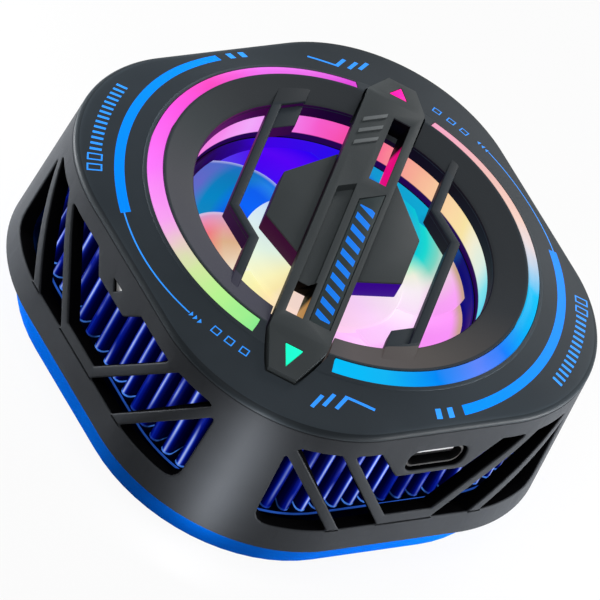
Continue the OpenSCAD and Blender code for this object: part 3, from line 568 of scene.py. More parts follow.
bar = bevelled_copy("bridge_bar", "bar_shell", 0.14, "bar_plastic", in_screw_hole, lean_windows)
hub_cap = bevelled_copy("hub_plate", "hub_cap", 0.2, "cover_plastic")
inlay = bevelled_copy("name_plate", "bar_inlay", 0.06, "inlay_plastic")

# %% [markdown]
# The base is a shallow tray whose outside widens upwards. Only its lower rim is softened, where a hand
# or the phone would touch it. Smooth shading joins the narrow faces of its round corners.

# %% Base
Z_RIM, RIM_IN = 1.0, 29.5


def off_the_rim(a, b):
    return any(p.z > Z_RIM or hypot(p.x, p.y) < RIM_IN for p in (a, b))


base = bevelled_copy("base_frame", "base_shell", 0.35, "band_blue", off_the_rim, angle=15)

# %% [markdown]
# ## Lit arcs
# Each arc is a translucent strip with a sloping top. The copy of the CAD node is enough, with its
# upper rim softened so that it reads as a moulded strip and not as a painted line.

# %% Lit arcs and lenses
arc_left = bevelled_copy("light_ring_left", "arc_left", 0.1, "diffuser_left")
arc_right = bevelled_copy("light_ring_right", "arc_right", 0.1, "diffuser_right")
lens_front = bevelled_copy("arrow_lens_front", "arrow_front", 0.08, "lens_green")
lens_rear = bevelled_copy("arrow_lens_rear", "arrow_rear", 0.08, "lens_pink")

# %% [markdown]
# ## Fan
# Eight swept blades are moulded with a wide hub. One blade is a loft: a closed section like a thin
# wing is extruded from root to tip, while it turns and sweeps. The other seven are copies. A blade
# covers more than its share of the circle, so its high front edge hangs over the next one's tail. It
# spans 58 degrees here and 55 in the CAD source, so that no dark slit shows between two blades.

# %% Blades and hub
HUB_R, TIP_R, Z_ROTOR, Z_ROTOR_TOP = 11.3, 20.2, 14.68, 22.88
BLADES, BLADE_SPAN, BLADE_SWEEP, BLADE_PHASE = 8, 58, 24, 41
BLADE_RISE, BLADE_FOOT, BLADE_THICK, BLADE_ROOT = 2.6, 4.6, 0.9, HUB_R - 0.35


def blade_section(share, steps=20):
    """Closed section of a blade at a share of its span."""
    r = BLADE_ROOT + share * (TIP_R - BLADE_ROOT)
    upper, lower = [], []
    for k in range(steps + 1):
        chord = k / steps
        a = radians(BLADE_PHASE + BLADE_SWEEP * share * share + BLADE_SPAN * chord)
        belly = sin(pi * chord)
        z = Z_ROTOR + BLADE_FOOT + BLADE_RISE * (1 - chord + 0.12 * belly)
        thick = BLADE_THICK * (0.35 + 0.65 * belly)
        lower.append((r * cos(a), r * sin(a), z))
        upper.append((r * cos(a), r * sin(a), z + thick))
    return lower + upper[::-1]


blade = rows_piece("blade", [blade_section(k / 14) for k in range(15)], caps=BOTH_ENDS)
blades = [blade]
for k in range(1, BLADES):
    twin = bpy.data.objects.new("blade", blade.data.copy())
    bpy.context.scene.collection.objects.link(twin)
    blades.append(to_world(twin, 360 * k / BLADES))
hub_rows = [[(r * cos(a), r * sin(a), z) for a in (2 * pi * k / 96 for k in range(96))] for r, z in (
    (10.6, 21.68), (10.6, 14.9), (10.7, Z_ROTOR), (11.2, Z_ROTOR), (HUB_R, 14.8), (HUB_R, 22.35),
    (11.2, 22.65), (10.95, 22.82), (10.6, Z_ROTOR_TOP))]
hub = rows_piece("fan_hub", hub_rows, caps=BOTH_ENDS)
fan = join(blades + [hub], "fan_blades")
settle(fan, "rotor", "blade_plastic", "fan_rotor")

# %% [markdown]
# ## Pleated fins
# A thin blue sheet is folded to and fro round the body. Its section is one long wavy line, so the
# outer and the inner face are two outlines with the same number of points, and four rows make the
# sheet: up the outside, across the top, down the inside and back.

# %% Fin band
FIN_HALF, FIN_CORNER, FIN_T, PLEAT, FOLD_NEAR = 29.1, 18.0, 0.4, 5.0, 2.6
Z_FINS, Z_FIN_TOP = 8.6, 23.08
NOTCH_PLACE, NOTCH_SIZE = (0, -28, 21.9), (10.94, 10, 4.8)
fin_straight, fin_arc = 2 * (FIN_HALF - FIN_CORNER), pi * FIN_CORNER / 2
fin_length = 4 * (fin_straight + fin_arc)
pleats = round(fin_length / FOLD_NEAR)
fold = fin_length / pleats


def fin_point(length, depth):
    stretch = fin_straight + fin_arc
    length = length % fin_length
    side = int(length // stretch)
    rest = length - side * stretch
    turn = max(0, rest - fin_straight) / FIN_CORNER
    x = min(rest, fin_straight) - fin_straight / 2
    r = FIN_CORNER - depth
    px, py = x + r * sin(turn), -(FIN_HALF - FIN_CORNER) - r * cos(turn)
    c, s = (1, 0, -1, 0)[side], (0, 1, 0, -1)[side]
    return px * c - py * s, px * s + py * c


def fin_face(fold_out, fold_in, depth_out, depth_in, steps=6):
    points = []
    for i in range(pleats):
        for centre, r, depth, way in ((i + 1.25, fold_out, depth_out, 1), (i + 1.75, fold_in, depth_in, -1)):
            for k in range(steps + 1):
                a = pi * (1 - k / steps)
                points.append(fin_point(centre * fold + r * cos(a), depth + way * r * (1 - sin(a))))
    return points


wide, tight = fold / 4 + FIN_T / 2, fold / 4 - FIN_T / 2
fin_out = fin_face(wide, tight, 0, PLEAT - FIN_T)
fin_in = fin_face(tight, wide, FIN_T, PLEAT)
fins = rows_piece("fin_band", [[(x, y, z) for x, y in face] for face, z in (
    (fin_out, Z_FINS), (fin_out, Z_FIN_TOP), (fin_in, Z_FIN_TOP), (fin_in, Z_FINS))], ring=True)
bpy.ops.object.select_all(action="DESELECT")
bpy.ops.mesh.primitive_cube_add(size=1, location=NOTCH_PLACE, scale=NOTCH_SIZE)
notch = bpy.context.object
bpy.ops.object.transform_apply(location=True, rotation=True, scale=True)
combine(fins, notch, "DIFFERENCE")
settle(fins, "body", "blue_aluminium", "fin_pack", angle=40)

# %% [markdown]
# ## Shader sums written as Python
# A material here is a small calculation on the place of a point. The class below wraps one socket,
# so that `x * 2 + y` adds the Math nodes by itself, and `Finish.make` adds any other node: its type,
# its settings and then the values or links of its sockets.

# %% Wire and Finish
class Wire:
    """One output socket that can be used in plain sums."""

    def __init__(self, finish, socket):
        self.finish, self.socket = finish, socket

    def math(self, operation, *inputs):
        return self.finish.make("ShaderNodeMath", {"operation": operation}, inputs)

    def __add__(self, other): return self.math("ADD", self, other)
    def __radd__(self, other): return self.math("ADD", other, self)
    def __sub__(self, other): return self.math("SUBTRACT", self, other)
    def __rsub__(self, other): return self.math("SUBTRACT", other, self)
    def __mul__(self, other): return self.math("MULTIPLY", self, other)
    def __rmul__(self, other): return self.math("MULTIPLY", other, self)
    def __truediv__(self, other): return self.math("DIVIDE", self, other)
    def __rtruediv__(self, other): return self.math("DIVIDE", other, self)
    def __gt__(self, other): return self.math("GREATER_THAN", self, other)
    def __lt__(self, other): return self.math("LESS_THAN", self, other)
    def __mod__(self, other): return self.math("FLOORED_MODULO", self, other)
    def __abs__(self): return self.math("ABSOLUTE", self)
    def least(self, other): return self.math("MINIMUM", self, other)
    def most(self, other): return self.math("MAXIMUM", self, other)
    def clamped(self): return self.math("MINIMUM", self.math("MAXIMUM", self, 0.0), 1.0)


class Finish:
    """A material and the nodes that make it."""

    def __init__(self, name, rough=0.5, metal=0.0, **constants):
        self.material = bpy.data.materials.new(name)
        self.material.use_nodes = True
        self.tree = self.material.node_tree
        self.tree.nodes.clear()
        self.surface = self.tree.nodes.new("ShaderNodeBsdfPrincipled")
        self.output = self.tree.nodes.new("ShaderNodeOutputMaterial")
        self.tree.links.new(self.surface.outputs[0], self.output.inputs[0])
        self.set("Roughness", rough)
        self.set("Metallic", metal)
        for key, value in constants.items():
            self.set(key.replace("_", " "), value)

    def make(self, kind, settings, inputs=(), output=0):
        node = self.tree.nodes.new(kind)
        for key, value in settings.items():
            if key == "stops":
                ramp = node.color_ramp
                while len(ramp.elements) < len(value):
                    ramp.elements.new(1.0)
                for element, (place, colour) in zip(ramp.elements, value):
                    element.position, element.color = place, colour
            else:
                setattr(node, key, value)
        pairs = inputs.items() if isinstance(inputs, dict) else enumerate(inputs)
        for key, value in pairs:
            if isinstance(value, Wire):
                self.tree.links.new(value.socket, node.inputs[key])
            else:
                node.inputs[key].default_value = value
        return Wire(self, node.outputs[output])

    def set(self, name, value):
        if isinstance(value, Wire):
            self.tree.links.new(value.socket, self.surface.inputs[name])
        else:
            self.surface.inputs[name].default_value = value
        return self

    def shine(self, colour, strength=1.0):
        """Lets the surface glow by itself."""
        return self.set("Emission Color", colour).set("Emission Strength", strength)

    def second(self, factor, shader):
        """Lays another shader over the first one where the factor is 1."""
        both = self.make("ShaderNodeMixShader", {}, [factor, Wire(self, self.surface.outputs[0]), shader])
        self.tree.links.new(both.socket, self.output.inputs[0])

    def place(self):
        """Object coordinates in millimetres, as a vector and as three numbers."""
        spot = self.make("ShaderNodeTexCoord", {}, output="Object")
        spot = self.make("ShaderNodeVectorMath", {"operation": "SCALE"}, {0: spot, "Scale": 1 / MM})
        parts = self.make("ShaderNodeSeparateXYZ", {}, [spot])
        return spot, *(Wire(self, s) for s in parts.socket.node.outputs)

    def noise(self, spot, scale, detail=3.0, rough=0.55):
        inputs = {"Vector": spot, "Scale": scale, "Detail": detail, "Roughness": rough}
        return self.make("ShaderNodeTexNoise", {}, inputs)

    def mix(self, factor, a, b):
        return self.make("ShaderNodeMix", {"data_type": "RGBA"}, {0: factor, 6: a, 7: b}, output=2)

    def ramp(self, factor, stops):
        """Colours along the factor; a stop is its place and its red, green and blue."""
        stops = [(place, rgb(*tone)) for place, *tone in stops]
        return self.make("ShaderNodeValToRGB", {"stops": stops}, [factor])

    def bump(self, height, strength, distance):
        return self.make("ShaderNodeBump", {}, {"Height": height, "Strength": strength, "Distance": distance})


BLACK = (0, 0, 0, 1)


def rgb(*tones):
    """A colour on a screen's scale, 0 to 255, as a shader's linear values."""
    linear = [c / 255 / 12.92 if c <= 10 else ((c / 255 + 0.055) / 1.055) ** 2.4 for c in tones]
    return (*linear, 1.0)


def wear(obj, finish):
    """Gives a piece or a CAD node its finish."""
    obj.data.materials.clear()
    obj.data.materials.append(finish.material)
    for polygon in obj.data.polygons:
        polygon.material_index = 0


print("shader tools ready")

# %% [markdown]
# ## Charcoal plastic
# The cover, bar and housing are black polycarbonate with a fine spark-eroded texture. At this size
# the texture only shows as a soft, slightly uneven gloss, so a fine noise drives a weak bump and the
# roughness, and a wide noise shifts the colour a little. The index of refraction is low, because such
# a texture mirrors little. Behind its skin the housing gets painted shade from a black second shader.

# %% Charcoal
def charcoal(name, shade, rough, grain=0.35, ior=1.14):
    finish = Finish(name, rough, IOR=ior)
    spot, *place = finish.place()
    fine, wide_noise = finish.noise(spot, 5.0, 4.0), finish.noise(spot, 0.12, 2.0)
    dark, light = (tuple(c * share for c in shade[:3]) + (1,) for share in (0.86, 1.14))
    colour = finish.mix(wide_noise, dark, light)
    finish.set("Roughness", rough - 0.06 + 0.12 * fine)
    finish.set("Normal", finish.bump(fine, grain, 0.00004))
    return finish, colour, place


housing_finish, colour, (x, y, z) = charcoal("housing_charcoal", rgb(45, 47, 50), 0.42, ior=1.06)
ahead_x, ahead_y = (abs(x) - FLAT).most(0.0), (abs(y) - FLAT).most(0.0)
skin = CORNER + (Z_SEAM - z) * (FLARE / (Z_SEAM - Z_BASE))
depth = skin - x.math("SQRT", ahead_x * ahead_x + ahead_y * ahead_y)
# Painted shade: deeper than 0.1 mm behind the outer skin, a black, fully rough shader takes over on window
# walls, slat sides and the groove.
inside = ((depth - 0.1) / 0.22).clamped()
housing_finish.set("Base Color", colour)
painted_shade = {"Base Color": rgb(6, 6, 7), "Roughness": 1.0, "IOR": 1.0}
housing_finish.second(inside, housing_finish.make("ShaderNodeBsdfPrincipled", {}, painted_shade))
wear(housing, housing_finish)

# %% [markdown]
# The walls of the bar's windows and the skirt of the hub plate stand in the fan's light. They get
# painted shade there, black, with a painted glow in the colour of the light nearest to them. The tops
# of the ribs on the bar get a painted highlight, so they are lighter than the rest.

# %% Bar and hub plate
REAR_WINDOW, FRONT_WINDOW = ((8.6, 22.4), (-3.1, -0.3)), ((-22.4, -14.4), (0.3, 3.1))
BELOW_REAR = ((8.6, 13.6), (-3.1, -0.3))
Z_RIBS, Z_WINDOWS = 31.36, 31.1
bar_finish, colour, (x, y, z) = charcoal("bar_charcoal", rgb(68, 73, 75), 0.48)
along, across = bar_place(x, y)


def band(value, low, high):
    return (value > low) * (value < high)


def window(along, across, place):
    return band(along, *place[0]) * band(across, *place[1])


rear_wall = window(along, across, REAR_WINDOW) * (z < Z_WINDOWS)
front_wall = window(along, across, FRONT_WINDOW) * (z < Z_WINDOWS)
# Painted highlight on the rib tops, then painted shade on the window walls.
colour = bar_finish.mix(z > Z_RIBS, colour, rgb(112, 117, 119))
colour = bar_finish.mix((rear_wall + front_wall).least(1.0), colour, rgb(7, 7, 8))
# Painted glow on the window walls: pink near the rear arc, warm gold near the front one.
rear_painted_glow = rear_wall * ((18.0 - along) / 1.2).clamped()
front_painted_glow = front_wall * ((-17.0 - along) / 1.5).clamped()
glow = bar_finish.mix(rear_painted_glow, BLACK, rgb(225, 0, 120))
glow = bar_finish.mix(front_painted_glow, glow, rgb(176, 126, 70))
bar_finish.set("Base Color", colour).shine(glow)
wear(bar, bar_finish)

hub_finish, colour, (x, y, z) = charcoal("hub_charcoal", rgb(68, 73, 75), 0.48)
along, across = bar_place(x, y)
skirt_painted_shade_and_glow = z < Z_HUB - 0.2
# Painted glow on the skirt: violet to plum across the bar, pink below the rear window.
tint = hub_finish.mix(((across + 2) / 4).clamped(), rgb(50, 0, 135), rgb(54, 10, 46))
tint = hub_finish.mix(window(along, across, BELOW_REAR), tint, rgb(225, 0, 120))
# Painted shade: the skirt is near-black, and only it gets the painted glow.
hub_finish.set("Base Color", hub_finish.mix(skirt_painted_shade_and_glow, colour, rgb(7, 6, 9)))
hub_finish.shine(hub_finish.mix(skirt_painted_shade_and_glow, BLACK, tint))
wear(hub_cap, hub_finish)

# %% [markdown]
# ## Print on the cover
# Blue marks are pad-printed round the lit ring: a thick arc with two dashes, a thin line with
# arrowheads, small outlined squares and a row of ticks. They repeat after half a turn. Each mark is
# a band in radius and angle, so one short expression makes one mark and the sum is the print's mask.

# %% Printed cover
INK_BAND, LINE_BAND, TICK_BAND, Z_PRINT = (30.4, 31.7), (31.15, 31.34), (33.4, 34.95), 27.3
ARC_FROM, ARC_TO, LINE_TO = 49.3, 121, 153.4
DASHES, ARROWS = (45.5, 42), (154.1, 155.4, 156.8)
SQUARES, BOXES = (161.1, 165.2, 169.5), (104.3, 107.4)
ARROW_R, SQUARE_R, BOX_R = 31.2, 30.7, 34.2
TICK_FROM, TICK_TO, TICK_START, TICK_PITCH, TICK_WIDE = 78.7, 102.6, 78.8, 1.75, 0.72
STROKES, BEND = ((31.95, 5.57), (30.9, 6.93), (30.3, 8.57)), (29.14, 8.89)
cover_finish, colour, (x, y, z) = charcoal("cover_charcoal", rgb(54, 61, 67), 0.5)
radius = x.math("SQRT", x * x + y * y)
along, across = bar_place(x, y)
turn = across.math("ARCTAN2", across, along) * (180 / pi)
bearing = (turn + 180) % 180
lengthwise = radius * x.math("COSINE", bearing * (pi / 180))
sideways = radius * x.math("SINE", bearing * (pi / 180))


def box_mark(centre_r, centre_a, half_r, half_a, line):
    """Outlined box round a place in radius and angle; line is its stroke in millimetres."""
    du = abs(bearing - centre_a) * (centre_r * pi / 180)
    dv = abs(radius - centre_r)
    outer = (du < half_a) * (dv < half_r)
    inner = (du < half_a - line) * (dv < half_r - line)
    return outer - inner


top_face = z > Z_PRINT
solid = band(radius, *INK_BAND) * band(bearing, ARC_FROM, ARC_TO)
fine = band(radius, *LINE_BAND) * band(bearing, ARC_TO, LINE_TO)
for a in DASHES:
    fine = fine + band(radius, *INK_BAND) * band(bearing, a - 0.8, a + 0.8)
for a in ARROWS:
    fine = fine + (abs(radius - ARROW_R) + (bearing - a) * 0.5 < 0.22) * band(bearing, a - 0.4, a + 0.5)
for a in SQUARES:
    fine = fine + box_mark(SQUARE_R, a, 0.55, 0.62, 0.16)
ticks = band((bearing - TICK_START) % TICK_PITCH, 0, TICK_WIDE) * band(bearing, TICK_FROM, TICK_TO)
fine = fine + ticks * band(radius, *TICK_BAND)
for a in BOXES:
    fine = fine + box_mark(BOX_R, a, 1.0, 0.62, 0.22)
for a, c in STROKES:
    fine = fine + (abs(sideways - c + (lengthwise - a) * 0.28) < 0.27) * (abs(lengthwise - a) < 1.2)
slope = lengthwise - BEND[0] + (sideways - BEND[1]) * 0.165
fine = fine + (abs(slope) < 0.2) * band(sideways, 8.6, 12.9)
solid, fine = solid * top_face, fine.least(1.0) * top_face

# %% [markdown]
# The bezel that slopes down to the inlet is a little lighter and carries a painted glow of the fan's
# light that changes round the axis. The inlet's wall and the guards' sides get painted shade, black,
# with a faint painted glow of the fan's light that changes round the axis. Below the lip height the
# cover is darker.

# %% Bezel, inlet wall and ink
WELL_R, BEZEL_R, Z_WELL, Z_LIP = INLET + 0.15, 25.2, 29.95, 27.6
# Painted shade on the inlet's wall and the guards' sides inside it, with a painted glow that changes round
# the axis.
step_top = band(z, Z_STEP - 0.07, Z_STEP + 0.05)
well = (radius < WELL_R) * (z < Z_WELL) * (1 - step_top)
well_painted_glow = cover_finish.ramp(turn / 360 + 0.5, [
    (0.0, 20, 8, 30), (0.2, 16, 8, 40), (0.3, 28, 28, 32), (0.46, 14, 8, 22), (0.56, 26, 0, 42),
    (0.64, 58, 8, 66), (0.7, 96, 24, 88), (0.76, 66, 30, 76), (0.85, 40, 14, 50), (1.0, 20, 8, 30)])
bezel = band(radius, WELL_R, BEZEL_R)
colour = cover_finish.mix(bezel, colour, rgb(57, 61, 65))
colour = cover_finish.mix(z < Z_LIP, colour, rgb(38, 43, 47))
colour = cover_finish.mix(well, colour, rgb(6, 6, 8))
colour = cover_finish.mix(solid, colour, rgb(0, 125, 235))
cover_finish.set("Base Color", cover_finish.mix(fine, colour, rgb(40, 140, 240)))
# Painted glow on the bezel: the fan's light, changing round the axis.
bezel_painted_glow = cover_finish.ramp(turn / 360 + 0.5, [
    (0.0, 30, 30, 32), (0.05, 72, 62, 60), (0.13, 66, 58, 52), (0.24, 10, 10, 12), (0.3, 0, 0, 0),
    (0.65, 0, 0, 0), (0.72, 18, 26, 26), (0.8, 42, 40, 46), (0.95, 36, 30, 50), (1.0, 30, 30, 32)])
glow = cover_finish.mix(bezel, BLACK, bezel_painted_glow)
glow = cover_finish.mix(well, glow, well_painted_glow)
# The print's ink also glows: painted light that makes it brighter than the lamps alone.
glow = cover_finish.mix(solid, glow, rgb(0, 94, 180))
cover_finish.shine(cover_finish.mix(fine, glow, rgb(40, 108, 184)))
wear(cover, cover_finish)

# %% [markdown]
# ## Light
# The arcs, the two arrow lenses, the inner ring and the blades are lit by coloured diodes. The
# colour runs along the angle round the axis, so a colour ramp over the angle drives the emission.

# %% Lit finishes
def around(finish):
    """Angle round the axis from 0 to 1, anticlockwise from the bar's front end as seen from above."""
    spot, x, y, z = finish.place()
    along, across = bar_place(x, y)
    share = across.math("ARCTAN2", across, along) / (2 * pi) + 0.5
    return spot, share, x.math("SQRT", x * x + y * y), z


def lit(name, stops, strength, base=0.1, dark_below=0.0):
    """A glow whose colour runs round the axis; below a height it fades into deep purple."""
    finish = Finish(name, 0.35, IOR=1.1)
    spot, share, _, z = around(finish)
    cloudy = finish.noise(spot, 0.25, 2.0)
    glow = finish.ramp(share + (cloudy - 0.5) * 0.02, stops)
    glow = finish.mix(((dark_below - z) / 0.15 + 0.5).clamped(), glow, rgb(36, 4, 78))
    return finish.set("Base Color", finish.mix(base, BLACK, glow)).shine(glow, strength)


left_stops = [
    (0.533, 225, 60, 220), (0.575, 240, 112, 240), (0.62, 244, 116, 246), (0.67, 253, 76, 196),
    (0.72, 254, 88, 232), (0.79, 253, 122, 252), (0.85, 251, 164, 245), (0.875, 237, 206, 206),
    (0.9, 213, 237, 164), (0.93, 186, 248, 148), (0.967, 140, 240, 145)]
right_stops = [
    (0.033, 0, 195, 255), (0.075, 18, 184, 248), (0.125, 0, 137, 248), (0.165, 95, 134, 250),
    (0.2, 20, 125, 250), (0.24, 0, 178, 244), (0.28, 0, 194, 248), (0.33, 230, 216, 218),
    (0.36, 246, 207, 192), (0.4, 240, 190, 180), (0.467, 248, 164, 198)]
wear(arc_left, lit("arc_glow_left", left_stops, 0.9))
wear(arc_right, lit("arc_glow_right", right_stops, 0.9))
glow_stops = [
    (0.0, 250, 170, 120), (0.14, 250, 130, 120), (0.24, 40, 200, 235), (0.29, 120, 225, 235),
    (0.325, 218, 238, 226), (0.35, 243, 238, 212), (0.375, 249, 228, 165), (0.4, 253, 216, 165),
    (0.45, 248, 178, 150), (0.5, 255, 90, 150), (0.53, 250, 80, 170), (0.56, 248, 95, 205),
    (0.6, 245, 140, 246), (0.64, 245, 172, 250), (0.675, 250, 140, 235), (0.76, 245, 110, 200),
    (0.88, 240, 230, 150), (1.0, 250, 170, 120)]
wear(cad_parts["glow_ring"], lit("inner_glow", glow_stops, 0.95, dark_below=24.3))
for piece, tint in ((lens_front, rgb(25, 225, 175)), (lens_rear, rgb(255, 20, 150))):
    finish = Finish("arrow_glow", 0.4, IOR=1.1)
    spot, *_ = finish.place()
    shade = finish.mix(finish.noise(spot, 0.6), tint, tuple(min(1, c * 1.25) for c in tint[:3]) + (1,))
    finish.set("Base Color", shade).shine(shade, 0.7)
    wear(piece, finish)

# %% [markdown]
# The blades are clear plastic, lit from below, and that light is painted on them as emission. Each
# blade takes its own colour of it, so the colour runs along the angle after the sweep is taken out, and
# it jumps where one blade's front edge hangs over the next. The ramp differs near the hub and near the
# tips, and the hub's flat top has a third one. Painted light runs along the tips and front edges.

# %% Lit blades
FRONT_EDGE = 0.489
blade_finish = Finish("blade_glow", 0.3, IOR=1.2)
_, share, radius, z = around(blade_finish)
span = ((radius - BLADE_ROOT) / (TIP_R - BLADE_ROOT)).clamped()
place = (share - span * span * (BLADE_SWEEP / 360) + 1.0) % 1.0
near_hub = blade_finish.ramp(place, [
    (0.0, 253, 200, 225), (0.08, 253, 193, 252), (0.17, 253, 206, 254), (0.29, 251, 240, 248),
    (0.33, 240, 242, 224), (0.355, 170, 240, 200), (0.38, 10, 205, 215), (0.42, 15, 150, 220),
    (0.488, 30, 60, 235), (0.489, 45, 0, 245), (0.56, 80, 0, 246), (0.613, 58, 6, 250),
    (0.614, 10, 106, 230), (0.633, 32, 131, 232), (0.66, 4, 95, 240), (0.7, 5, 100, 250),
    (0.738, 4, 60, 245), (0.739, 205, 165, 205), (0.77, 230, 160, 165), (0.8, 222, 178, 140),
    (0.83, 235, 205, 175), (0.863, 246, 236, 218), (0.864, 250, 252, 200), (0.9, 252, 246, 178),
    (0.93, 252, 232, 176), (0.988, 251, 216, 205)])
near_tip = blade_finish.ramp(place, [
    (0.0, 250, 190, 215), (0.08, 252, 150, 248), (0.2, 251, 146, 249), (0.26, 252, 165, 247),
    (0.285, 246, 190, 235), (0.305, 215, 222, 215), (0.325, 120, 216, 196), (0.345, 8, 218, 210),
    (0.38, 12, 182, 216), (0.43, 20, 110, 220), (0.488, 35, 40, 235), (0.489, 40, 2, 240),
    (0.55, 84, 0, 246), (0.613, 62, 4, 240), (0.614, 12, 112, 200), (0.65, 10, 122, 186),
    (0.7, 0, 134, 196), (0.738, 14, 132, 190), (0.739, 205, 160, 208), (0.758, 235, 142, 176),
    (0.78, 240, 112, 122), (0.81, 240, 135, 118), (0.84, 238, 190, 160), (0.863, 244, 230, 212),
    (0.864, 226, 246, 190), (0.93, 250, 230, 170), (0.988, 250, 210, 205)])
on_top = blade_finish.ramp(share, [
    (0.0, 251, 214, 205), (0.06, 253, 208, 238), (0.15, 254, 214, 252), (0.28, 251, 240, 246),
    (0.33, 240, 243, 226), (0.36, 130, 236, 205), (0.4, 10, 200, 216), (0.46, 20, 120, 225),
    (0.6, 60, 50, 248), (0.65, 170, 200, 248), (0.69, 210, 232, 248), (0.82, 232, 251, 234),
    (0.9, 254, 248, 190), (0.93, 252, 236, 174), (0.97, 250, 222, 210)])
far_out = ((radius - 13.8) / 2.4).clamped()
glow = blade_finish.mix(far_out, near_hub, near_tip)
# Painted light along the tips: violet on the left, warm gold on the right.
left_tip_painted_light = (1 - abs(share - 0.72) / 0.1).most(0.0) * ((radius - 17.6) / 1.4).clamped()
glow = blade_finish.mix(left_tip_painted_light.least(1.0) * 0.8, glow, rgb(108, 98, 205))
right_tip_painted_light = (1 - abs(share - 0.3) / 0.09).most(0.0).least(0.5) * (radius - 18.9).clamped()
glow = blade_finish.mix(right_tip_painted_light * 1.6, glow, rgb(190, 165, 100))
# Painted highlight along each blade's front edge.
behind_edge = (place - FRONT_EDGE + 1.0) % (1 / BLADES)
edge_painted_highlight = (1 - behind_edge / 0.008).most(0.0) * band(place, 0.6, 0.87)
glow = blade_finish.mix(edge_painted_highlight * 0.45, glow, rgb(235, 235, 255))
glow = blade_finish.mix((radius < HUB_R + 0.02) * (z > 21.5), glow, on_top)
blade_finish.set("Base Color", blade_finish.mix(0.15, BLACK, glow)).shine(glow, 0.9)
wear(fan, blade_finish)

# %% [markdown]
# ## Blue metal and the band
# The fins are anodised aluminium of a deep blue. Their outer folds and feet get painted highlights
# and glints, the pleats get painted shade that deepens inwards, and all of it also glows as emission.
# The heat sink's upper rim gets a painted highlight line. The band round the base is glossy blue plastic.

# %% Blue finishes
def fin_depth(x, y):
    """Depth behind the outer folds: the distance to a square with round corners."""
    u, v = abs(x) - (FIN_HALF - FIN_CORNER), abs(y) - (FIN_HALF - FIN_CORNER)
    ahead_u, ahead_v = u.most(0.0), v.most(0.0)
    length = u.math("SQRT", ahead_u * ahead_u + ahead_v * ahead_v)
    return FIN_CORNER - length - u.most(v).least(0.0)


fin_finish = Finish("fin_blue", 0.35, 0.3, IOR=1.15)
spot, x, y, z = fin_finish.place()
stretched = fin_finish.make("ShaderNodeVectorMath", {"operation": "MULTIPLY"}, [spot, (0.3, 0.3, 0.08)])
# Painted glints: a stretched noise picks which folds get the painted highlight.
painted_glint = ((fin_finish.noise(stretched, 1.0, 2.0) - 0.42) * 5).clamped()
depth = fin_depth(x, y)
# Painted shade deep in the pleats and painted highlights on the outer folds, by depth behind the folds.
pleat_painted_shade = [(0.02, 2, 14, 116), (0.045, 0, 5, 78), (0.1, 0, 1, 42), (0.3, 0, 0, 26),
              (0.8, 0, 0, 12)]
painted_fold_highlight = fin_finish.ramp(depth / PLEAT, [
    (0.0, 182, 198, 248), (0.006, 140, 164, 242), (0.012, 28, 62, 200)] + pleat_painted_shade)
painted_fold_dim = fin_finish.ramp(depth / PLEAT, [(0.0, 10, 36, 160), (0.009, 4, 20, 128)] + pleat_painted_shade)
tone = fin_finish.mix(painted_glint, painted_fold_dim, painted_fold_highlight)
# Painted highlight along the fins' foot.
painted_foot_line = (z < Z_FINS + 0.3) * (depth < PLEAT - 0.3)
tone = fin_finish.mix(painted_foot_line * (0.1 + 0.75 * painted_glint), tone, rgb(80, 145, 255))
fin_finish.set("Base Color", fin_finish.mix(0.25, BLACK, tone)).shine(tone, 0.8)
wear(fins, fin_finish)

sink_finish = Finish("sink_blue", 0.4, 0.4, IOR=1.15)
spot, x, y, z = sink_finish.place()
sink_depth = fin_depth(x, y)
# Painted highlight along the plate's upper outer rim, which also glows.
sink_rim_painted_highlight = (z > Z_FINS - 0.25) * (sink_depth < -0.25) * (0.2 + 0.8 * sink_finish.noise(spot, 0.12))
tone = sink_finish.mix(sink_finish.noise(spot, 0.4), rgb(1, 2, 24), rgb(2, 6, 48))
tone = sink_finish.mix(sink_rim_painted_highlight, tone, rgb(60, 125, 255))
sink_finish.set("Base Color", tone).shine(sink_finish.mix(sink_rim_painted_highlight, BLACK, tone), 0.8)
sink_finish.set("Roughness", 0.34 + 0.16 * sink_finish.noise(spot, 2.0))
wear(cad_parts["heat_sink"], sink_finish)

band_finish = Finish("band_blue", 0.5, IOR=1.02)
spot, *_ = band_finish.place()
cloudy = band_finish.noise(spot, 0.15)
band_finish.set("Base Color", band_finish.mix(cloudy, rgb(0, 72, 162), rgb(0, 86, 180)))
band_finish.set("Normal", band_finish.bump(band_finish.noise(spot, 3.0), 0.1, 0.00003))
wear(base, band_finish)

# %% [markdown]
# ## Finishes that are only seen close up
# The other pieces are metal, board, rubber or foam. They share one recipe: two tones mixed by a
# noise at the scale of the real texture, with the gloss and a fine bump following the same noise.

# %% Plain finishes
def plain(name, low, high, rough, metal=0.0, scale=1.0, grain=0.2):
    finish = Finish(name, rough, metal)
    spot, *_ = finish.place()
    speckle = finish.noise(spot, scale, 4.0)
    finish.tone = finish.mix(speckle, rgb(*low), rgb(*high))
    finish.set("Base Color", finish.tone)
    finish.set("Roughness", rough - 0.08 + 0.16 * speckle)
    return finish.set("Normal", finish.bump(speckle, grain, 0.00005))


